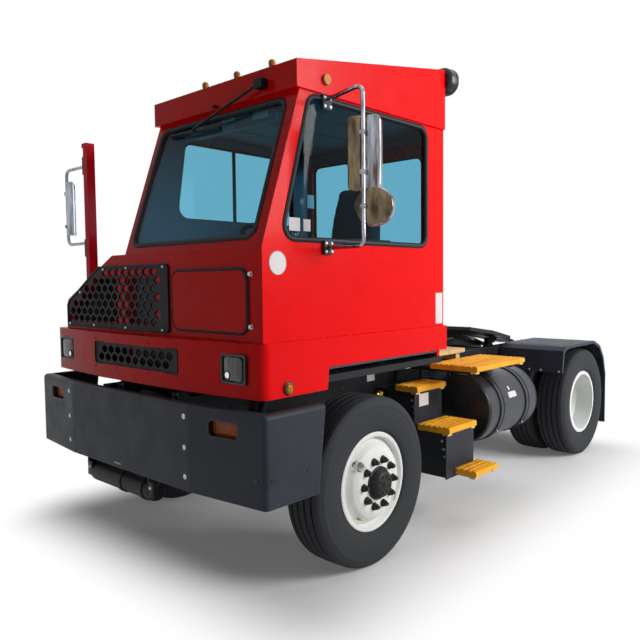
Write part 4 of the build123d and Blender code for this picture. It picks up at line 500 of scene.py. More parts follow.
def piece(name, mesh, finish, body, crease=35.0):
    """Makes the mesh a piece that rides on a body, smooth but for its creases."""
    bmesh.ops.recalc_face_normals(mesh, faces=mesh.faces)
    data = bpy.data.meshes.new(name)
    mesh.to_mesh(data)
    mesh.free()
    data.polygons.foreach_set("use_smooth", [True] * len(data.polygons))
    data.set_sharp_from_angle(angle=radians(crease))
    return carried(name, data, finish, body)


def pipe(name, points, radius, finish, body):
    """Bent tube through points in mm, as a smooth curve."""
    curve = bpy.data.curves.new(name, "CURVE")
    curve.dimensions = "3D"
    curve.bevel_depth, curve.bevel_resolution, curve.resolution_u = radius * MM, 3, 6
    curve.use_fill_caps = True
    spline = curve.splines.new("NURBS")
    spline.points.add(len(points) - 1)
    for knot, point in zip(spline.points, points):
        knot.co = (*at(*point), 1.0)
    spline.order_u = 3
    spline.use_endpoint_u = True
    return carried(name, curve, finish, body)


# ---------------------------------------------------------------- tyres
# outline of half the tyre's section, from the bead to the tread's edge: (across, radius) in mm
TYRE_WALL = [(104, 286), (104, 300), (110, 309), (117, 318), (123, 323), (124, 331), (128, 337), (130, 347),
             (134, 368), (138, 395), (139.6, 420), (139.2, 446), (136.5, 464), (137.5, 467), (136.5, 474),
             (134, 478), (130, 492), (126, 500), (122, 507), (117, 512), (113, 517), (104, 520.5)]
TREAD_HALF, CROWN_DROP = 104.0, 4.0
GROOVE_MIDDLES, GROOVE_HALF, GROOVE_DEEP = (78, 27), 6, 13
DRIVE_NOTCHES, NOTCH_DEEP = 68, 7.0


def round_axle(x, y, angle, reach):
    """Point round an axle at wheel height, reach mm from it: angle 0 is rearwards and a quarter turn up."""
    return at(x, y, TYRE_R) + Vector((0, cos(angle), sin(angle))) * reach * MM


def tyre_profile():
    """Outline of the tyre's whole section from bead to bead, with its grooves."""
    half = list(TYRE_WALL)
    for middle in GROOVE_MIDDLES:
        top = TYRE_R - CROWN_DROP * (middle / TREAD_HALF) ** 2
        half += [(middle + GROOVE_HALF + 1, top), (middle + GROOVE_HALF - 2, top - GROOVE_DEEP),
                 (middle - GROOVE_HALF + 2, top - GROOVE_DEEP), (middle - GROOVE_HALF - 1, top)]
    return half + [(-across, radius) for across, radius in reversed(half)]


def tyre_mesh(mesh, x, y, notches):
    """Tyre about an axle at x, y; notches is how many slots cross each shoulder, and 0 leaves it plain."""
    profile = tyre_profile()
    steps = 3 * notches if notches else 180
    rings = []
    for k in range(steps):
        cut = NOTCH_DEEP if notches and k % 3 == 0 else 0.0
        rings.append([round_axle(x + across, y, 2 * pi * k / steps,
                                 radius - (cut if 96 < abs(across) < 127 and radius > 498 else 0.0))
                      for across, radius in profile])
    skin(mesh, rings, loop=True)


for side, word in SIDES:
    for kind, end, y, notches, places in (("front_tyre_ribbed", "front", AXLE_Y, 0, (FRONT_X,)),
                                          ("drive_tyre_pair", "rear", DRIVE_Y, DRIVE_NOTCHES,
                                           (DUAL_OUTER_X, DUAL_INNER_X))):
        mesh = bmesh.new()
        for x in places:
            tyre_mesh(mesh, side * x, y, notches)
        made = piece(f"{kind}_{word}", mesh, tyre_rubber, f"wheel_{end}_{word}", 28)
        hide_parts(f"tyre_{end}_{word}")


# ---------------------------------------------------------------- wheel hardware
STUD_CIRCLE, STUD_COUNT, CAP_CIRCLE, CAP_BOLTS = 142.0, 10, 50.0, 8
HAND_HOLE_CIRCLE, HAND_HOLE_ANGLE, HAND_HOLE_R = 208.0, radians(142.0), 33.0
DISC_TURN = radians(90.0)
FRONT_FACE_X, REAR_FACE_X, LIP_X, BEAD_R = 1130.0, 790.0, 1112.0, 281.0
VALVE_X, VALVE_REACH = 1086.0, 246.0
# a stud's faces stand past the disc's face in this ring round the axle, in metres
STUD_PAST, STUD_RING = 0.0006, (0.120, 0.165)
hub_front = [(1, 102), (6, 102), (9, 94), (21, 90), (25, 87), (44, 78), (51.5, 68), (53, 64), (53, 30),
             (56, 28), (56, 18), (60, 16), (60, 3)]
hub_rear = [(17, 118), (21, 116), (90, 108), (97, 97), (119, 90), (124, 78), (124, 34), (117, 30), (117, 3)]
for side, word in SIDES:
    out = Vector((side, 0, 0))
    for x, y, end, hub, seat, nut_high, cap_face in (
            (FRONT_FACE_X, AXLE_Y, "front", hub_front, 0.0, 25.0, 53.0),
            (REAR_FACE_X, DRIVE_Y, "rear", hub_rear, 18.0, 21.0, 124.0)):
        body = f"wheel_{end}_{word}"
        mesh = bmesh.new()
        turned(mesh, at(side * x, y, TYRE_R), out, hub, 48)
        for k in range(CAP_BOLTS):
            angle = 2 * pi * (k + 0.5) / CAP_BOLTS
            bolt(mesh, round_axle(side * (x + cap_face - 1), y, angle, CAP_CIRCLE), out, 13, 7, False)
        piece(f"hub_cap_{end}_{word}", mesh, trim_black, body, 30)
        mesh = bmesh.new()
        for k in range(STUD_COUNT):
            foot = round_axle(side * (x + seat), y, 2 * pi * k / STUD_COUNT, STUD_CIRCLE)
            turned(mesh, foot, out, [(-2, 25), (4, 25), (7, 22)], 24)
            turned(mesh, foot, out, [(4, 21), (nut_high - 4, 21), (nut_high, 18)], 6)
            turned(mesh, foot, out, [(nut_high - 2, 11.6), (nut_high + 14, 11.6), (nut_high + 15.5, 10)], 14)
        piece(f"wheel_nuts_{end}_{word}", mesh, nut_steel, body, 30)
    # the front rim again, turned so that a hand hole stands up and ahead, with its studs dressed off flat
    body = f"wheel_front_{word}"
    axle = at(side * FRONT_FACE_X, AXLE_Y, TYRE_R)
    mesh = bmesh.new()
    mesh.from_mesh(nodes[f"rim_front_{word}"].data)
    bmesh.ops.remove_doubles(mesh, verts=mesh.verts, dist=0.02 * MM)
    studs = []
    for face in mesh.faces:
        reach = face.calc_center_median() - axle
        if reach.x * side > STUD_PAST and STUD_RING[0] < Vector((reach.y, reach.z)).length < STUD_RING[1]:
            studs.append(face)
    bmesh.ops.delete(mesh, geom=studs, context="FACES")
    bmesh.ops.holes_fill(mesh, edges=mesh.edges, sides=0)
    bmesh.ops.rotate(mesh, verts=mesh.verts, cent=axle, matrix=Matrix.Rotation(DISC_TURN, 3, "X"))
    made = piece(f"front_rim_turned_{word}", mesh, white_enamel, body, 30)
    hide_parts(f"rim_front_{word}")
    # rolled bead inside the outer flange, hand hole lips and a valve on each front wheel
    mesh = bmesh.new()
    lip = [(cos(2 * pi * k / 10) * 3.5, BEAD_R + sin(2 * pi * k / 10) * 3.5) for k in range(10)]
    turned(mesh, at(side * (FRONT_X + 116), AXLE_Y, TYRE_R), out, lip, 96, loop=True)
    for k in range(2):
        foot = round_axle(side * LIP_X, AXLE_Y, HAND_HOLE_ANGLE + k * pi, HAND_HOLE_CIRCLE)
        turned(mesh, foot, out, [(-4, HAND_HOLE_R - 1), (6, HAND_HOLE_R - 1), (6, HAND_HOLE_R + 4),
                                 (-4, HAND_HOLE_R + 4)], 32, loop=True)
    piece(f"front_rim_lips_{word}", mesh, white_enamel, body, 30)
    mesh = bmesh.new()
    foot = round_axle(side * VALVE_X, AXLE_Y, HAND_HOLE_ANGLE + pi / 2, VALVE_REACH)
    turned(mesh, foot, out, [(0, 6), (18, 6), (20, 4.5), (34, 4.5), (35, 3)], 14)
    piece(f"tyre_valve_{word}", mesh, brass, body, 30)


# ---------------------------------------------------------------- window seals
SCREEN_NORMAL = Vector((0, -1, SCREEN_LEAN)).normalized()
DOOR_FACE = -672.0


def on_screen(x, z, ahead=0.0):
    """Point on the sloping face round the windscreen, or ahead of it along its normal."""
    return at(x, CAB_FRONT + SCREEN_LEAN * (z - BELT_Z), z) + SCREEN_NORMAL * ahead * MM


def on_front(u, v):
    """Point on the cab's upright front face."""
    return at(u, CAB_FRONT, v)


screen_path = framed(on_screen, (-128, 1984), (1004, 2722), 60)
left_path = rounded([at(WALL_LEFT, y, z) for y, z in (
    (-2254, 1976), (-2035, 2741), (-920, 2741), (-920, 1976))], 70)
right_path = rounded([at(WALL_RIGHT, y, z) for y, z in (
    (-2070, 1976), (-1930, 2700), (-920, 2700), (-920, 1976))], 70)
back_path = framed(lambda x, z: at(x, CAB_BACK, z), (-110, 1976), (270, 2660), 60)
door_path = framed(lambda x, z: at(x, DOOR_FACE, z), (400, 1976), (900, 2626), 60)

# the rubber laps the sheet and the glass; a harder filler strip lies in the groove along its middle
seal_section = [(17, -1), (17, 3.5), (13, 6.5), (4, 7), (1, 5), (-2, 5), (-5, 7), (-10, 4), (-15, -6),
                (-15, -11.5), (1, -11.5), (1, -1)]
filler_section = [(4, 4.5), (4, 7), (1.5, 8.5), (-2.5, 8.5), (-5, 7), (-5, 4.5)]
# the back window's seal lies flatter, because the door slides past it
for name, path, normal, body, flat in (
        ("windscreen", screen_path, SCREEN_NORMAL, "cab", 1.0), ("left_window", left_path, LEFT, "cab", 1.0),
        ("right_window", right_path, RIGHT, "cab", 1.0), ("back_window", back_path, REAR, "cab", 0.3),
        ("door_window", door_path, REAR, "rear_door", 1.0)):
    mesh = bmesh.new()
    band(mesh, path, normal, [(out, up * flat if up > 0 else up) for out, up in seal_section])
    piece(f"{name}_seal", mesh, seal_rubber, body, 50)
    mesh = bmesh.new()
    band(mesh, path, normal, [(out, up * flat) for out, up in filler_section])
    piece(f"{name}_seal_filler", mesh, filler_rubber, body, 50)

# divider and runner of the sliding panes in the right window
mesh = bmesh.new()
slab(mesh, (-171, -1524, 1980), (-161, -1498, 2697), 2)
slab(mesh, (-171, -2020, 1977), (-163, -930, 1990), 2)
piece("right_window_divider", mesh, trim_black, "cab")


# ---------------------------------------------------------------- cab front: hatch, grilles, slot
GRILLE_FACE = CAB_FRONT - 8.4
mesh = bmesh.new()
hatch_low, hatch_high = low_high("access_panel")
hatch_path = framed(on_front, (hatch_low.x, hatch_low.z), (hatch_high.x, hatch_high.z), 52, 8)
band(mesh, hatch_path, FORWARD, [(0.5, -0.5), (0.5, 12), (4, 15.5), (9, 15.5), (13, 11), (15, 3), (15, -0.5)])
piece("hatch_seal", mesh, seal_rubber, "cab", 50)
mesh = bmesh.new()
for z in (1791, 1520):
    turned(mesh, on_front(1003, z), FORWARD,
           [(-1, 13), (3, 13), (4, 9), (9, 9), (12, 11), (16, 11), (18, 8)], 20)
piece("hatch_knobs", mesh, zinc, "cab", 30)

grille_edge = rounded([at(x, GRILLE_FACE, z) for x, z in (
    (285, 1452), (285, 1863), (-515, 1863), (-930, 1634), (-957, 1592), (-957, 1452))], 30, 4)
mesh = bmesh.new()
band(mesh, grille_edge, FORWARD,
     [(0, -8), (0, 3), (-2, 5), (-10, 5), (-12, 3), (-12, -0.5), (-2, -0.5), (-2, -8)])
piece("upper_grille_edge", mesh, grille_powder, "cab", 40)
mesh = bmesh.new()
for x, z in ((-174, 1848), (228, 1846), (211, 1467), (-195, 1466), (-593, 1469), (-773, 1690), (-455, 1842),
             (-930, 1470)):
    rivet(mesh, at(x, GRILLE_FACE, z), FORWARD, 9, 5)
piece("grille_screws", mesh, zinc, "cab", 40)

# radiator core behind the upper grille: two header blocks, and fins that are shorter under the hood's slope
FIN_COUNT, FIN_START, FIN_PITCH, FIN_THICK, SLOPE_X = 43, -920, 16.5, 4, -640
mesh = bmesh.new()
slab(mesh, (SLOPE_X, -2340, 1470), (-205, -2320, 1780), 3)
slab(mesh, (-930, -2340, 1470), (-636, -2320, 1600), 3)
for k in range(FIN_COUNT):
    x = FIN_START + k * FIN_PITCH
    slab(mesh, (x, -2346, 1476), (x + FIN_THICK, -2339, 1774 if x > SLOPE_X else 1594), 0.6)
piece("radiator_core", mesh, block_iron, "cab")


def fascia_y(x):
    """Face of the bowed fascia at x."""
    return FASCIA_FRONT + FASCIA_BOW * (x / FASCIA_HALF) ** 2


mesh = bmesh.new()
slot_edge = framed(lambda x, z: at(x, FASCIA_FRONT, z), (-455, 1236), (455, 1375), 16, 4)
slot_edge = [Vector((p.x, fascia_y(p.x / MM) * MM, p.z)) for p in slot_edge]
band(mesh, slot_edge, FORWARD,
     [(6, -0.5), (6, 2.5), (4, 4), (0, 4), (-2, 2.5), (-2, -16), (0.5, -16), (0.5, -0.5)])
piece("slot_edge", mesh, grille_powder, "cab", 40)
mesh = bmesh.new()
for x in (-452, -179, 174, 452):
    for z in (1218, 1394):
        rivet(mesh, at(x, fascia_y(x), z), FORWARD, 7, 4)
piece("slot_screws", mesh, red_enamel, "cab", 40)


# ---------------------------------------------------------------- lamps
HEADLAMP_X, HEADLAMP_Z = 900.0, 1298.0
lamp_face = low_high("lamps")[0].y + 4
lens_mesh, spot_mesh, ring_mesh = bmesh.new(), bmesh.new(), bmesh.new()
for side, word in SIDES:
    x = side * HEADLAMP_X
    domed(lens_mesh, framed(lambda u, v: at(x + u, lamp_face, HEADLAMP_Z + v), (-72, -61), (72, 61), 24, 5),
          FORWARD, 7)
    spot = at(x - side * 42, lamp_face - 4, HEADLAMP_Z - 34)
    turned(spot_mesh, spot, FORWARD, [(2, 19.5), (3, 19), (5.5, 14), (7, 7), (7.4, 1)], 28)
    turned(ring_mesh, spot, FORWARD, [(-6, 19), (-6, 24), (5, 24), (7, 22), (5, 19.5)], 28, loop=True)
    band(ring_mesh, framed(lambda u, v: at(x + u, lamp_face, HEADLAMP_Z + v), (-99, -78), (99, 78), 14, 4),
         FORWARD, [(1, -1), (1, 3), (-3, 5), (-9, 4), (-12, -1)])
piece("headlamp_lenses", lens_mesh, clear_lens, "cab", 40)
piece("headlamp_spots", spot_mesh, silvered, "cab", 40)
piece("headlamp_rims", ring_mesh, lamp_shell, "cab", 40)

# round markers on the skirts and the roof side, with black bases and a ring round each lens
SKIRT_X, LENS_PROUD = 1104.3, 15.5
mesh, caps = bmesh.new(), bmesh.new()
for side, word in SIDES:
    foot, out = at(side * SKIRT_X, -2239, 1193), Vector((side, 0, 0))
    face = foot + out * LENS_PROUD * MM
    turned(mesh, foot, out, [(-2, 30.4), (-2, 38), (4, 38), (8, 33), (9, 30.4)], 32, loop=True)
    turned(caps, face, out, [(0, 24), (2, 21), (3.6, 12), (4.2, 3)], 28)
    turned(mesh, face, out, [(-2, 24), (-2, 28), (3, 27), (3.6, 25)], 28, loop=True)
turned(mesh, at(1100, -1918, 2844), LEFT, [(-1, 22), (-1, 30), (3, 29), (5, 24)], 28, loop=True)
for x in (300, 592, 885):
    turned(mesh, at(x, -2110, 2912), UP, [(-9, 20.4), (-9, 27), (0, 26), (3, 20.4)], 28, loop=True)
piece("marker_lamp_bases", mesh, lamp_shell, "cab", 40)
piece("marker_lamp_lenses", caps, marker_lens, "cab", 40)

# work lamp at the roof's rear corner: one rounded shell with a lip, its lens under two guard bars
WORK_X, WORK_Z, WORK_BACK = 1046, 3106, -704
mesh = bmesh.new()
shell = framed(lambda x, z: at(x, WORK_BACK, z), (945, 3020), (1146, 3192), 78, 10)
shell_middle = middle_of(shell)
skin(mesh, [[shell_middle + (p - shell_middle) * share + at(0, y, 0) for p in shell] for y, share in (
    (0, 0.8), (3, 0.9), (18, 1.0), (72, 1.0), (74, 1.03), (90, 1.03), (93, 1.0), (90, 0.93), (86, 0.91))])
for angle in (0, pi / 2):
    reach = Vector((cos(angle), 0, sin(angle))) * 68 * MM
    middle = at(WORK_X, WORK_BACK + 90, WORK_Z)
    band(mesh, [middle + reach * share + at(0, rise, 0) for share, rise in (
        (-1, 0), (-0.5, 8), (0, 10), (0.5, 8), (1, 0))],
         (sin(angle), 0, -cos(angle)), [(-2, -2), (2, -2), (2, 2), (-2, 2)], loop=False)
slab(mesh, (985, -706, 2996), (1035, -700, 3040), 2)
slab(mesh, (999, -704, 3004), (1021, -660, 3018), 2)
piece("work_lamp_shell", mesh, lamp_shell, "cab", 40)
mesh = bmesh.new()
turned(mesh, at(WORK_X, WORK_BACK + 85, WORK_Z), REAR, [(-2, 66), (1, 66), (4, 50), (5.5, 24), (6, 2)], 32)
piece("work_lamp_lens", mesh, silvered, "cab", 40)


# ---------------------------------------------------------------- front bumper
SIGNAL_X, SIGNAL_Z, CUP_DEEP, SLOT_X, SLOT_HALF = 905.0, 992.0, 36, 1133.0, 11


def bumper_face(x):
    """The bumper's face at x: its y, and the direction out of it and along it."""
    if abs(x) <= BUMPER_FLAT:
        return BUMPER_FRONT, FORWARD, LEFT
    run = Vector((1, BUMPER_SWEEP if x > 0 else -BUMPER_SWEEP, 0)).normalized()
    return BUMPER_FRONT + BUMPER_SWEEP * (abs(x) - BUMPER_FLAT), Vector((run.y, -run.x, 0)), run


mesh = bmesh.new()
for x in (612, -690):
    y, out, _ = bumper_face(x)
    for z in (1030, 860, 698):
        turned(mesh, at(x, y, z), out, [(-1, 15), (2, 15), (3, 13)], 24)
        rivet(mesh, at(x, y, z) + out * 2 * MM, out, 11, 7)
piece("bumper_bolts", mesh, zinc, "chassis", 40)
mesh = bmesh.new()
for side, word in SIDES:
    x = side * SLOT_X
    y = bumper_face(x)[0]
    slab(mesh, (x - SLOT_HALF, y - 1.2, 757), (x + SLOT_HALF, y + 3, 779), 0.5)
    x = side * BUMPER_HALF
    for y in (-2447, -2192):
        slab(mesh, (x - 1.2, y - SLOT_HALF, 755), (x + 1.2, y + SLOT_HALF, 777), 0.5)
piece("bumper_side_slots", mesh, trim_black, "chassis")

cup_mesh, lens_mesh = bmesh.new(), bmesh.new()
for side, word in SIDES:
    y, out, run = bumper_face(side * SIGNAL_X)
    middle = at(side * SIGNAL_X, y, SIGNAL_Z)
    path = framed(lambda u, v: middle + (run * u + UP * v) * MM, (-109.4, -45.4), (109.4, 45.4), 30)
    band(cup_mesh, path, out, [(0, -1), (-1, 0), (-5, -1), (-5, -CUP_DEEP), (0, -CUP_DEEP)])
    domed(cup_mesh, [p - out * CUP_DEEP * MM for p in path], out, 1, back=3)
    small = [middle + (p - middle) * 0.93 - out * (CUP_DEEP - 4) * MM for p in path]
    domed(lens_mesh, small, out, 6, back=3)
piece("signal_cups", cup_mesh, lamp_shell, "chassis", 40)
made = piece("signal_lenses", lens_mesh, amber_lens, "chassis", 40)
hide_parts("bumper_signals")


# ---------------------------------------------------------------- inside the cab
IN_LEFT, IN_RIGHT, IN_BACK, LINING = 1055.5, -159.5, -740.5, 3.0
BEHIND_SCREEN = REAR * SHEET * MM


def lining(name, outline, opening, normal):
    """Vinyl trim board on the inner face of a wall, cut round its windows."""
    mesh = bmesh.new()
    edges = []
    for path in (outline, *opening):
        verts = [mesh.verts.new(point) for point in path]
        edges += [mesh.edges.new((verts[i], verts[(i + 1) % len(verts)])) for i in range(len(verts))]
    filled = bmesh.ops.triangle_fill(mesh, use_beauty=True, edges=edges)
    faces = [item for item in filled["geom"] if isinstance(item, bmesh.types.BMFace)]
    thickened = bmesh.ops.extrude_face_region(mesh, geom=faces)
    moved = [item for item in thickened["geom"] if isinstance(item, bmesh.types.BMVert)]
    bmesh.ops.translate(mesh, verts=moved, vec=normal * LINING * MM)
    piece(name, mesh, trim_vinyl, "cab")


def grown(path, by=5):
    """The same flat path, moved outwards by a distance in mm."""
    middle = middle_of(path)
    return [point + (point - middle).normalized() * by * MM for point in path]


lining("left_wall_lining", [at(IN_LEFT, y, z) for y, z in (
    (-2350, 1450), (-2350, 1940), (-2080, 2750), (-748, 2750), (-748, 1250), (-1900, 1250))],
       [[Vector((IN_LEFT * MM, p.y, p.z)) for p in grown(left_path)]], RIGHT)
lining("right_wall_lining", [at(IN_RIGHT, y, z) for y, z in (
    (-2350, 1250), (-2350, 1940), (-2080, 2750), (-748, 2750), (-748, 1250))],
       [rounded([at(IN_RIGHT, y, z) for y, z in (
           (-2010, 2185), (-1930, 2704), (-915, 2704), (-915, 2185))], 70)], LEFT)
lining("back_wall_lining", [at(x, IN_BACK, z) for x, z in (
    (-150, 1235), (1048, 1235), (1048, 2750), (-150, 2750))],
       [[Vector((p.x, IN_BACK * MM, p.z)) for p in grown(back_path)],
        framed(lambda x, z: at(x, IN_BACK, z), (328, 1244), (972, 2708), 40)], FORWARD)
lining("windscreen_lining", [on_screen(x, z) + BEHIND_SCREEN for x, z in (
    (-152, 1960), (1048, 1960), (1048, 2752), (-152, 2752))],
       [[p + BEHIND_SCREEN for p in grown(screen_path)]], REAR)


def blocks(name, finish, *rows):
    """One piece of cab trim made of eased blocks: a row is a low and a high corner and how far edges ease."""
    mesh = bmesh.new()
    for row in rows:
        slab(mesh, *row)
    piece(name, mesh, finish, "cab")


blocks("headliner", trim_vinyl, ((-150, -2075, 2752), (1046, -748, 2762), 4),
       *(((x - 4, -2060, 2748), (x + 4, -760, 2753), 1.5) for x in (150, 450, 750)))
blocks("overhead_console_and_visors", dash_vinyl, ((-60, -2076, 2690), (960, -1900, 2750), 12),
       ((40, -2084, 2645), (400, -2066, 2735), 8), ((520, -2084, 2645), (880, -2066, 2735), 8))
blocks("blank_overhead_labels", console_label, ((100, -2087.5, 2668), (240, -2085, 2712), 1),
       ((380, -2079, 2700), (560, -2076.5, 2736), 1), ((690, -2087.5, 2668), (820, -2085, 2712), 1))

# instrument pod with dials, a row of switches and a small screen on the dash
pod = (at(600, -2120, 1900), Matrix.Rotation(radians(-16), 3, "X"))
blocks("instrument_pod", trim_black, ((430, -2180, 1862), (770, -2060, 1935), 16, pod),
       ((60, -2200, 1852), (330, -2110, 1905), 10), ((880, -2240, 1850), (1040, -2050, 1905), 10))
mesh = bmesh.new()
for x, r in ((520, 40), (610, 40), (690, 26), (740, 18)):
    foot = pod[0] + pod[1] @ (at(x, -2059, 1900) - pod[0])
    turned(mesh, foot, pod[1] @ REAR, [(-2, r), (3, r), (4, r - 5), (2.4, r - 7)], 32)
for x in range(90, 306, 36):
    slab(mesh, (x, -2112, 1866), (x + 22, -2104, 1892), 2)
piece("dials_and_switches", mesh, zinc, "cab")
mesh = bmesh.new()
slab(mesh, (905, -2170, 1905), (1030, -2140, 2010), 6)
turned(mesh, at(965, -2150, 1850), UP, [(0, 10), (60, 10)], 16)
piece("dash_terminal", mesh, trim_black, "cab")
blocks("terminal_screen", silvered, ((915, -2139.5, 1916), (1020, -2138, 2000), 1))

# steering wheel's horn pad and gaiter
RAKE = radians(28)
tilt = Vector((0, sin(RAKE), cos(RAKE)))
centre = at(600, -1840, 1985)
mesh = bmesh.new()
turned(mesh, centre, tilt, [(20, 52), (30, 52), (36, 44), (39, 26), (40, 4)], 32)
turned(mesh, centre, tilt, [(-30, 50), (-48, 44), (-60, 50), (-74, 42), (-86, 48), (-110, 40)], 32)
piece("steering_wheel_pad", mesh, wheel_vinyl, "cab")
mesh = bmesh.new()
slab(mesh, (812, -1990, 1990), (1000, -1978, 1998), 3,
     (at(812, -1984, 1994), Matrix.Rotation(radians(18), 3, "Y")))
turned(mesh, at(470, -1890, 1960), (-1, 0.1, 0.35), [(0, 8), (150, 6), (152, 15), (176, 15), (180, 8)], 14)
piece("column_stalks", mesh, trim_black, "cab")


# ---------------------------------------------------------------- seat
FOAM_CAP, FOAM_STEPS, FOAM_PRESSURE = 16.0, 20, 4.0
VOXEL, QUICK_VOXEL, FILL = 0.0065, 0.009, 0.8


def pad_start(low, high, round_by, lean=0.0, narrow=0.0):
    """Closed rounded block to be filled: lean moves its top back, and narrow draws its top corners in."""
    mesh = bmesh.new()
    low, high = Vector(low), Vector(high)
    block(mesh, low, high)
    bmesh.ops.bevel(mesh, geom=list(mesh.edges), offset=round_by, segments=5, affect="EDGES", profile=0.55)
    bmesh.ops.subdivide_edges(mesh, edges=[e for e in mesh.edges if e.calc_length() > 60], cuts=6,
                              use_grid_fill=True)
    for vert in mesh.verts:
        rise = (vert.co.z - low.z) / (high.z - low.z)
        vert.co.x = (low.x + high.x) / 2 + (vert.co.x - (low.x + high.x) / 2) * (1 - narrow * rise ** 4)
        vert.co.y += lean * rise
        vert.co *= MM
    return mesh


def as_shown(made):
    """The piece's mesh as its modifiers leave it; they are taken off."""
    graph = bpy.context.evaluated_depsgraph_get()
    shown = bpy.data.meshes.new_from_object(made.evaluated_get(graph))
    made.modifiers.clear()
    return shown


def stuffed(name, mesh):
    """Foam under cloth: remeshed, blown up by a cloth simulation with a cap on how far a point moves."""
    made = piece(name, mesh, seat_cloth, "cab", 80)
    bpy.context.view_layer.objects.active = made
    remesh = made.modifiers.new("even_skin", "REMESH")
    remesh.mode, remesh.use_smooth_shade = "VOXEL", True
    remesh.voxel_size = VOXEL
    made.data = as_shown(made)
    rest = [vert.co.copy() for vert in made.data.vertices]
    cloth = made.modifiers.new("filling", "CLOTH")
    cloth.settings.quality = 4
    cloth.settings.use_pressure = True
    cloth.settings.uniform_pressure_force = FOAM_PRESSURE
    cloth.settings.effector_weights.gravity = 0.0
    scene = bpy.context.scene
    scene.frame_start, scene.frame_end = 1, FOAM_STEPS
    for step in range(FOAM_STEPS):
        scene.frame_set(step + 1)
    made.data = as_shown(made)
    for vert, start in zip(made.data.vertices, rest):
        move = vert.co - start
        if move.length > FOAM_CAP * MM:
            vert.co = start + move.normalized() * FOAM_CAP * MM
    scene.frame_set(1)
    made.data.polygons.foreach_set("use_smooth", [True] * len(made.data.polygons))
    made.data.materials.clear()
    made.data.materials.append(seat_cloth)
    fine = made.modifiers.new("fine_skin", "SUBSURF")
    fine.levels = fine.render_levels = 1
    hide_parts("seat_cushions")


stuffed("seat_cushion_foam", pad_start((366, -1554, 1575), (834, -1146, 1676), 44))
stuffed("seat_backrest_foam", pad_start((376, -1152, 1706), (824, -1062, 2400), 42, lean=72, narrow=0.36))
# piping round the cushion's top edge, and the frame, its pivots and the armrest
mesh = bmesh.new()
cord_section = [(cos(2 * pi * k / 8) * 4, sin(2 * pi * k / 8) * 4) for k in range(8)]
band(mesh, framed(lambda x, y: at(x, y, 1672), (372, -1548), (828, -1152), 60), UP, cord_section)
piece("seat_piping", mesh, trim_black, "cab", 60)
mesh = bmesh.new()
slab(mesh, (400, -1110, 1300), (800, -1085, 1560), 8)
for x in (352, 848):
    slab(mesh, (x - 12, -1540, 1520), (x + 12, -1150, 1562), 5)
    turned(mesh, at(x - 26, -1130, 1640), LEFT, [(0, 30), (6, 34), (46, 34), (52, 30)], 24)
slab(mesh, (846, -1120, 1850), (872, -1068, 1990), 5)
slab(mesh, (856, -1480, 1985), (916, -1080, 2015), 10)
piece("seat_frame_and_armrest", mesh, trim_black, "cab")


# ---------------------------------------------------------------- mirrors
arms_low, arms_high = low_high("mirror_arms")
# each mirror head's own turned frame: where it stands, and its turn about the upright
LEFT_HEAD = (at(arms_high.x - 12, AXLE_Y - 400, 0), Matrix.Rotation(radians(26.0), 3, "Z"))
RIGHT_HEAD = (at(arms_low.x + 12, AXLE_Y - 650, 0), Matrix.Rotation(radians(-33.0), 3, "Z"))
HEAD_HALF, GLASS_BACK, BACK_FACE = 90, 57, 14.4
BOWL_ASIDE, BOWL_Z = 52, 2143


def beside(head, x, y, z):
    """Point in a mirror head's own frame: x along the head, y behind it."""
    return head[0] + head[1] @ at(x, y, z)


glass_mesh, edge_mesh = bmesh.new(), bmesh.new()
for head, aside, z0, z1 in ((LEFT_HEAD, 0.0, 2225, 2620), (RIGHT_HEAD, 106.0, 2117, 2518)):
    behind = head[1] @ REAR
    path = framed(lambda u, z: beside(head, aside + u, GLASS_BACK, z), (-HEAD_HALF + 1, z0 + 1),
                  (HEAD_HALF - 1, z1 - 1), 33)
    band(edge_mesh, path, behind,
         [(1.5, -16), (1.5, 2), (-1, 4.5), (-7, 4.5), (-9, 1), (-9, -1), (0, -1), (0, -16)])
    middle = middle_of(path)
    domed(glass_mesh, [middle + (p - middle) * 0.94 for p in path], behind, 1.5, back=1.0)
middle, behind = beside(LEFT_HEAD, BOWL_ASIDE, GLASS_BACK, BOWL_Z), LEFT_HEAD[1] @ REAR
turned(edge_mesh, middle, behind,
       [(-16, 104), (-16, 105.5), (2, 105.5), (4.5, 103), (4.5, 97), (1, 95), (-1, 95), (-1, 104)], 56,
       loop=True)
turned(glass_mesh, middle, behind, [(-1, 96), (0.5, 95), (5, 75), (9, 45), (10.5, 18), (10.8, 2)], 48)
piece("mirror_glasses", glass_mesh, silvered, "cab", 40)
piece("mirror_edges", edge_mesh, chrome, "cab", 40)

mesh, bolts = bmesh.new(), bmesh.new()
for z in (2723, 1936):
    slab(mesh, (1084, -1947, z - 39), (1106, -1873, z + 39), 3)
    for y in (-1933, -1887):
        for step in (22, -22):
            bolt(bolts, at(1105, y, z + step), LEFT, 14, 6)
for z in (2621, 2016):
    slab(mesh, (-1097, -2189, z - 65), (-1074, -2131, z + 65), 3)
    for step in (-46, 46):
        bolt(bolts, at(-1097, -2160, z + step), RIGHT, 14, 6)
piece("mirror_arm_feet", mesh, riser_powder, "cab")
for head, places in (
        (LEFT_HEAD, [(x, z) for z in (2320, 2525, 2143) for x in (-11, 11)]),
        (RIGHT_HEAD, ((0, 2190), (0, 2440)))):
    for x, z in places:
        bolt(bolts, beside(head, x, -16, z), head[1] @ FORWARD, 9, 5, False)
for z in (1492, 1518, 1582, 1608):
    bolt(bolts, at(-1003, -2191, z), FORWARD, 12, 6, False)
piece("mirror_bolts", bolts, zinc, "cab", 40)


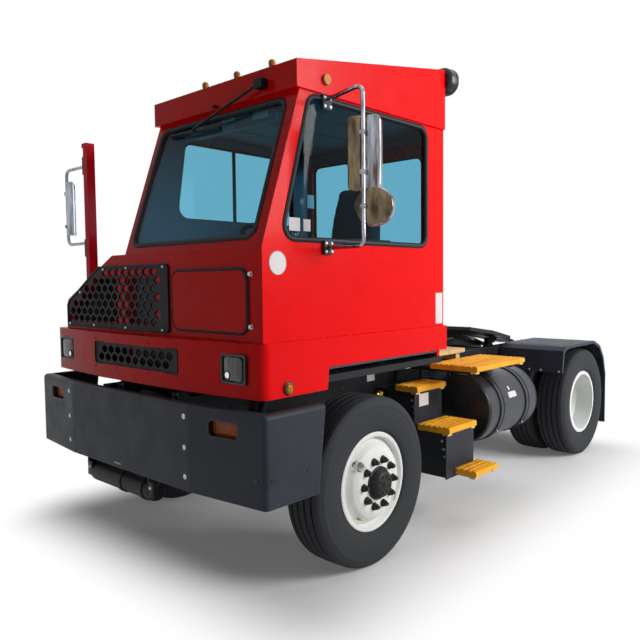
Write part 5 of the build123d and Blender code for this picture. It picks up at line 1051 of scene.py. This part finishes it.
# ---------------------------------------------------------------- blank labels and plates
BADGE = at(WALL_LEFT, -2286, 1847)
mesh = bmesh.new()
for low, high, soft in (((1074, -2188, 2018), (1075.2, -2106, 2088), 0.5),
                        ((1074, -2080, 2020), (1075.2, -2026, 2084), 0.5),
                        ((1054, -2026, 2148), (1055, -1974, 2220), 0.4),
                        ((1085.6, -806, 1452), (1087, -724, 1662), 0.5)):
    slab(mesh, low, high, soft)
turned(mesh, BADGE, LEFT, [(-0.5, 58), (1.2, 58), (1.8, 55), (1.8, 2)], 48)
piece("blank_cab_labels", mesh, white_vinyl, "cab", 40)
mesh = bmesh.new()
turned(mesh, BADGE, LEFT, [(-0.5, 58), (-0.5, 62), (2, 62), (3, 60), (2, 58)], 48, loop=True)
piece("badge_rim", mesh, zinc, "cab", 40)

# pressed backs of the left mirrors, a bowed one and a flat one each side of the arm: the bowed one's bronze
# colour and the flat one's brown streaks are a painted reflection of the surroundings
bowed_back_mesh, flat_back_mesh = bmesh.new(), bmesh.new()
ahead = LEFT_HEAD[1] @ FORWARD
for mesh, u0, u1, rise in ((bowed_back_mesh, -86, -14, 7), (flat_back_mesh, 14, 86, 1.5)):
    path = framed(lambda u, z: beside(LEFT_HEAD, u, BACK_FACE, z), (u0, 2231), (u1, 2614), 14, 5)
    domed(mesh, path, ahead, rise)
turned(bowed_back_mesh, beside(LEFT_HEAD, BOWL_ASIDE, BACK_FACE, BOWL_Z), ahead,
       [(-2, 99), (0, 99), (4, 88), (7, 62), (9, 30), (9.4, 2)], 48)
piece("mirror_bowed_backs", bowed_back_mesh, bronze_painted_reflection, "cab", 40)
piece("mirror_flat_back", flat_back_mesh, stainless_painted_reflection, "cab", 40)


# ---------------------------------------------------------------- steps, tank and deck
RIB_PITCH, RIB_WIDE, TAB_LONG, TAB_WIDE = 38, 13, 50, 46
mesh, tabs = bmesh.new(), bmesh.new()
for top, x0, x1, y0, y1 in ((970, 640, 838, -660, -275), (710, 856, 1122, -684, -307),
                            (400, 1096, 1262, -560, -240)):
    for x in range(x0 + 16, x1 - 20, RIB_PITCH):
        slab(mesh, (x, y0 + 14, top - 1), (x + RIB_WIDE, y1 - 14, top + 3.5), 1.4)
    for y in (y0 + 3, y1 - 53):
        slab(tabs, (x1 - 12 - TAB_WIDE, y, top - 58), (x1 - 12, y + TAB_LONG, top - 43.6), 2)
for x in range(806, 1170, RIB_PITCH):
    slab(mesh, (x, -408, 1119), (x + RIB_WIDE, 324, 1123.5), 1.4)
piece("step_tread_ribs", mesh, tread_paint, "chassis", 40)
for y in (-415, 285):
    slab(tabs, (1130, y, 1066), (1130 + TAB_WIDE, y + TAB_LONG, 1080.4), 2)
piece("step_edge_tabs", tabs, tab_paint, "chassis", 40)
mesh = bmesh.new()
for y, places in (
        (-626, ((766, 862), (777, 815), (788, 770))),
        (-650, ((1039, 604), (1052, 548), (1064, 495))),
        (1340, ((876, 885), (1049, 884), (-876, 885), (-1049, 884), (760, 885), (-760, 885)))):
    for x, z in places:
        bolt(mesh, at(x, y, z), FORWARD, 15, 7)
for side, word in SIDES:
    for y in (-610, -300, 60):
        rivet(mesh, at(side * 690, y, 1180), UP, 10, 4)
    for y in (1420, 1760, 2060):
        for x in (500, 1040):
            rivet(mesh, at(side * x, y, 1115), UP, 9, 4)
piece("step_and_fender_bolts", mesh, zinc, "chassis", 40)

# tank: end rings, strap edges with T-bolts and a chrome cap; two blank labels on it and three on the chassis
TANK = at(880, 0, 740)
STRAPS, TANK_SKIN, LABEL_SKIN = (40, 470), 269.6, 271


def around(angle, y, radius):
    """Point round the tank's axis; 0 degrees is outboard, 90 up."""
    a = radians(angle)
    return TANK + Vector((cos(a) * radius, y, sin(a) * radius)) * MM


mesh = bmesh.new()
for y, inner, outer, wide in (*((y + edge, 275, 279.5, 3) for y in STRAPS for edge in (-27, 24)),
                              (-136, 269, 272.5, 5), (643, 269, 272.5, 5)):
    turned(mesh, TANK + at(0, y, 0), REAR, [(0, inner), (0, outer), (wide, outer), (wide, inner)], 72,
           loop=True)
piece("tank_strap_edges", mesh, lamp_shell, "chassis", 40)
mesh = bmesh.new()
turned(mesh, at(940, 180, 1044), UP, [(-2, 50), (14, 50), (18, 46), (18, 14), (30, 12), (32, 4)], 36)
for y in STRAPS:
    turned(mesh, around(-38, y, 282), (0.6, 0, -0.8), [(-4, 9), (10, 9), (12, 6)], 16)
piece("tank_cap", mesh, chrome, "chassis", 40)
mesh = bmesh.new()
for y0, y1, a0, a1 in ((204, 226, 28.5, 35), (174, 300, 15, 25)):
    skin(mesh, [[around(a0 + (a1 - a0) * k / 6, y, r) for y, r in (
        (y0, TANK_SKIN), (y1, TANK_SKIN), (y1, LABEL_SKIN), (y0, LABEL_SKIN))] for k in range(7)])
for low, high, soft in (((811.6, -600, 815), (812.9, -478, 908), 0.5),
                        ((429.6, -736, 982), (431, -644, 1072), 0.5),
                        ((-124, -2551, 640.5), (-47, -2549.6, 651.5), 0.4)):
    slab(mesh, low, high, soft)
piece("blank_chassis_labels", mesh, white_vinyl, "chassis", 40)

# bracket plates that hang the air tank, with a bolt each
mesh, bolts = bmesh.new(), bmesh.new()
for x in (-800, -40):
    slab(mesh, (x, -2372, 400), (x + 8, -2228, 560), 3)
    slab(mesh, (x + 8, -2372, 400), (x + 60, -2364, 500), 3)
for x in (-766, -8):
    bolt(bolts, at(x, -2372, 462), FORWARD, 18, 9)
piece("air_tank_brackets", mesh, chassis_powder, "chassis", 40)
piece("air_tank_bolts", bolts, zinc, "chassis", 40)

# battery box: lid latches, hinge barrels and a folded rim
mesh = bmesh.new()
for y in (-480, -150):
    slab(mesh, (-1087, y - 16, 880), (-1079, y + 16, 985), 2)
    slab(mesh, (-1094, y - 11, 905), (-1086, y + 11, 962), 3)
    turned(mesh, at(-1087, y - 20, 983), REAR, [(0, 7), (40, 7)], 14)
slab(mesh, (-1083, -612, 930), (-1079, -8, 938), 1)
piece("battery_latches", mesh, zinc, "chassis", 40)


# ---------------------------------------------------------------- frame, axles and brakes
mesh = bmesh.new()
for side, word in SIDES:
    for y in (-1990, -1900, -1120, -1030, 760, 850, 1180, 2240, 2380):
        for z in (884, 966, 1048):
            bolt(mesh, at(side * RAIL_X, y, z), (side, 0, 0), 20, 9)
piece("frame_bolts", mesh, nut_steel, "chassis", 40)

# U-bolts that clamp the springs to the front axle, with the plates that they pass through
SPRING_X, U_BOLT_ACROSS, U_BOLT_ALONG, CLAMP_LOW, CLAMP_HIGH = 390.0, 44, 66, 470, 716
mesh = bmesh.new()
for side, word in SIDES:
    x = side * SPRING_X
    for y in (AXLE_Y - U_BOLT_ALONG, AXLE_Y + U_BOLT_ALONG):
        for off in (-U_BOLT_ACROSS, U_BOLT_ACROSS):
            turned(mesh, at(x + off, y, CLAMP_LOW - 18), UP, [(0, 9), (270, 9), (272, 7)], 14)
            bolt(mesh, at(x + off, y, CLAMP_LOW), DOWN, 26, 14)
    for z, thick in ((CLAMP_HIGH, 16), (CLAMP_LOW, 14)):
        slab(mesh, (x - 62, AXLE_Y - 96, z), (x + 62, AXLE_Y + 96, z + thick), 3)
piece("spring_clamps", mesh, nut_steel, "chassis", 40)

# brake chambers: two pressed cups joined by a clamp ring, with an air hose from each to the rail
CHAMBER_X = 330
mesh = bmesh.new()
for side, word in SIDES:
    turned(mesh, at(side * CHAMBER_X, DRIVE_Y - 330, 560), (0, -1, 0.25),
           [(-70, 40), (-60, 66), (-18, 72), (-16, 82), (-4, 84), (8, 82), (10, 72), (48, 70), (62, 56),
            (66, 20)], 36)
piece("brake_chambers", mesh, chassis_powder, "chassis", 40)
for side, word in SIDES:
    pipe(f"brake_hose_{word}", [(side * x, DRIVE_Y + y, z) for x, y, z in (
        (CHAMBER_X, -385, 590), (CHAMBER_X, -470, 640), (352, -560, 760), (392, -600, 860))], 9,
         hose_rubber, "chassis")

# air and light couplings for a trailer, on a bracket behind the cab, and an air fitting by the steps
BRACKET_BACK, COUPLING_Z = 162, 1240
FITTING = at(600, -781, 918)
mesh = bmesh.new()
slab(mesh, (-190, 150, 1178), (190, BRACKET_BACK, 1290), 3)
piece("coupling_bracket", mesh, chassis_powder, "chassis", 40)
mesh = bmesh.new()
for x in (-120, 120):
    turned(mesh, at(x, BRACKET_BACK, COUPLING_Z), REAR,
           [(-2, 24), (6, 24), (8, 17), (26, 17), (28, 26), (36, 26), (38, 20)], 28)
turned(mesh, at(0, BRACKET_BACK, COUPLING_Z), REAR,
       [(-2, 34), (4, 34), (6, 26), (34, 26), (36, 29), (42, 29), (43, 22)], 32)
turned(mesh, FITTING, FORWARD, [(-2, 16), (20, 16), (24, 24), (40, 24), (44, 14), (57, 12)], 6)
turned(mesh, FITTING, DOWN, [(0, 18), (30, 18), (34, 12), (44, 12)], 6)
piece("air_couplings", mesh, brass, "chassis", 40)

# a pair of tail lamps on each fender's apron
TAIL_X = 640
mesh, lens = bmesh.new(), bmesh.new()
for side, word in SIDES:
    x = side * TAIL_X
    slab(mesh, (x - 96, 2440, 1000), (x + 96, 2466, 1076), 5)
    for u in (-48, 48):
        turned(lens, at(x + u, 2464, 1038), REAR, [(0, 33), (4, 32), (8, 24), (9.5, 10), (9.6, 2)], 32)
piece("tail_lamp_housings", mesh, lamp_shell, "chassis", 40)
piece("tail_lamp_lenses", lens, red_lens, "chassis", 40)


# ---------------------------------------------------------------- coupler and lift boom
PIVOT_Y, PIVOT_Z = 1440, 1130
PIVOT, TILT = at(0, PIVOT_Y, PIVOT_Z), Matrix.Rotation(radians(-12), 3, "X")
PLATE_TOP, BOOM_X, BOOM_Y = 1198.8, 300, 450


def on_coupler(x, y, z):
    """Point in the coupler's own frame: y back from its pivot, z up from its plate's rest plane."""
    return PIVOT + TILT @ at(x, y, z)


mesh = bmesh.new()
for side, word in SIDES:
    x = side * 330
    for y in (PIVOT_Y - 250, PIVOT_Y + 60):
        slab(mesh, (x - 42, y, PLATE_TOP), (x + 42, y + 150, PLATE_TOP + 2.6), 1, (PIVOT, TILT))
piece("coupler_grease_grooves", mesh, nut_steel, "fifth_wheel", 40)
mesh = bmesh.new()
for side, word in SIDES:
    for x, y in ((275, -392), (412, -215), (412, -60)):
        bolt(mesh, on_coupler(side * x, y, 70), TILT @ UP, 20, 8)
    turned(mesh, on_coupler(side * 296, 0, 0), (side, 0, 0), [(0, 30), (8, 30), (10, 24)], 24)
piece("coupler_bolts", mesh, zinc, "fifth_wheel", 40)
mesh = bmesh.new()
for side, word in SIDES:
    axis, x = (side, 0, 0), side * BOOM_X
    turned(mesh, at(x, BOOM_Y, 1010), axis, [(0, 38), (6, 38), (8, 32), (12, 32), (14, 12)], 32)
    for y in (700, 950, 1200):
        rivet(mesh, at(x, y, 1008), axis, 10, 5)
piece("boom_pin_caps", mesh, zinc, "boom", 40)

# wiper's rubber edge
mesh = bmesh.new()
start, end = on_screen(-30, 2677, 0.5), on_screen(475, 2648, 0.5)
band(mesh, [start, (start + end) / 2, end], SCREEN_NORMAL,
     [(-2, 0), (2, 0), (3, 9), (6, 10), (6, 14), (-6, 14), (-6, 10), (-3, 9)], loop=False)
piece("wiper_blade_rubber", mesh, hose_rubber, "cab", 40)


# ---------------------------------------------------------------- floor, light and camera
# the last value is the share of white glow that the floor keeps even under the vehicle: painted light that
# lifts the shadow
FLOOR_REACH, FOOTPRINT, FADE_OVER, SHADOW_LIFT_GLOW = 60, (1.12, 2.1, 0.0), 0.75, 0.09
WORLD_LOW, WORLD_HIGH, WORLD_RISE = 0.27, 0.05, 0.7
scene = bpy.context.scene


def light_box(name, where, aim, size, watts):
    """Soft studio lamp, a lit rectangle that faces its aim."""
    lamp = bpy.data.lights.new(name, "AREA")
    lamp.shape, lamp.size, lamp.size_y, lamp.energy = "RECTANGLE", size[0], size[1], watts
    made = bpy.data.objects.new(name, lamp)
    made.location = where
    made.rotation_euler = (Vector(aim) - Vector(where)).to_track_quat("-Z", "Y").to_euler()
    scene.collection.objects.link(made)


def background_rays(tree):
    """1 for rays from the camera, off gloss or through glass, which meet the lit white room."""
    rays = add(tree, "ShaderNodeLightPath")
    seen = add(tree, "ShaderNodeMath", {0: rays.outputs["Is Camera Ray"], 1: rays.outputs["Is Glossy Ray"]},
               operation="MAXIMUM")
    return add(tree, "ShaderNodeMath", {0: seen.outputs["Value"], 1: rays.outputs["Is Transmission Ray"]},
               operation="MAXIMUM").outputs["Value"]


# painted studio floor: plain and pale, holds the shadow, and fades to the lit white sweep around it; for
# camera rays a white glow is mixed in, a small share under the vehicle as painted light that lifts the
# shadow, and a full share past a box round the footprint, where it covers the shadow
material, tree, place = blank("pale_studio_floor")
paint = add(tree, "ShaderNodeBsdfDiffuse", {"Color": linear("#f4f4f4")})
glow = add(tree, "ShaderNodeEmission", {"Color": linear("#ffffff"), "Strength": 1.0})
folded = add(tree, "ShaderNodeVectorMath", {0: place}, operation="ABSOLUTE")
past = add(tree, "ShaderNodeVectorMath", {0: folded.outputs["Vector"], 1: FOOTPRINT}, operation="SUBTRACT")
past = add(tree, "ShaderNodeVectorMath", {0: past.outputs["Vector"], 1: (0.0, 0.0, 0.0)}, operation="MAXIMUM")
away = add(tree, "ShaderNodeVectorMath", {0: past.outputs["Vector"]}, operation="LENGTH")
fade = add(tree, "ShaderNodeMapRange", {"Value": away.outputs["Value"], "From Min": 0.0,
                                        "From Max": FADE_OVER, "To Min": SHADOW_LIFT_GLOW},
           interpolation_type="SMOOTHSTEP")
share = add(tree, "ShaderNodeMath", {0: background_rays(tree), 1: fade.outputs["Result"]},
            operation="MULTIPLY")
mixed = add(tree, "ShaderNodeMixShader", {0: share.outputs["Value"], 1: paint.outputs["BSDF"],
                                          2: glow.outputs["Emission"]})
add(tree, "ShaderNodeOutputMaterial", {"Surface": mixed.outputs["Shader"]})
mesh = bmesh.new()
mesh.faces.new([mesh.verts.new((x * FLOOR_REACH, y * FLOOR_REACH, 0)) for x, y in (
    (-1, -1), (1, -1), (1, 1), (-1, 1))])
ground = bpy.data.meshes.new("studio_floor")
mesh.to_mesh(ground)
mesh.free()
ground.materials.append(material)
floor = bpy.data.objects.new("studio_floor", ground)
scene.collection.objects.link(floor)
floor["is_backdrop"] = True

# the room's soft light is stronger near the floor than overhead
world = bpy.data.worlds.new("soft_studio_surround")
scene.world = world
world.use_nodes = True
tree = world.node_tree
tree.nodes.clear()
height = add(tree, "ShaderNodeSeparateXYZ", {
    "Vector": add(tree, "ShaderNodeTexCoord").outputs["Generated"]})
sweep = add(tree, "ShaderNodeMapRange", {"Value": height.outputs["Z"], "From Min": 0.0,
                                         "From Max": WORLD_RISE, "To Min": WORLD_LOW, "To Max": WORLD_HIGH})
level = add(tree, "ShaderNodeMapRange", {"Value": background_rays(tree), "To Min": sweep.outputs["Result"],
                                         "To Max": 1.0})
sky = add(tree, "ShaderNodeBackground", {"Color": linear("#ffffff"), "Strength": level.outputs["Result"]})
add(tree, "ShaderNodeOutputWorld", {"Surface": sky.outputs["Background"]})

light_box("key_left", (8.8, 3.0, 4.6), (0.6, 0.2, 1.3), (5.0, 4.0), 830.0)
light_box("top_fill", (1.5, 3.0, 8.5), (0.3, 1.0, 0.0), (7.0, 6.0), 150.0)

CAMERA_TURN, CAMERA_DROP, CAMERA_ROLL = radians(42.66), radians(3.44), radians(-0.605)
camera = bpy.data.cameras.new("camera")
camera.lens, camera.sensor_width = 37.0, 36.0
eye = bpy.data.objects.new("camera", camera)
eye.location = at(3540.5, AXLE_Y - 3123.0, 1754.8)
back = Vector((sin(CAMERA_TURN) * cos(CAMERA_DROP), -cos(CAMERA_TURN) * cos(CAMERA_DROP), sin(CAMERA_DROP)))
eye.rotation_mode = "QUATERNION"
eye.rotation_quaternion = ((-back).to_track_quat("-Z", "Y")
                           @ Matrix.Rotation(CAMERA_ROLL, 3, "Z").to_quaternion())
scene.collection.objects.link(eye)
scene.camera = eye
scene.view_settings.view_transform = "Standard"

low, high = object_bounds()
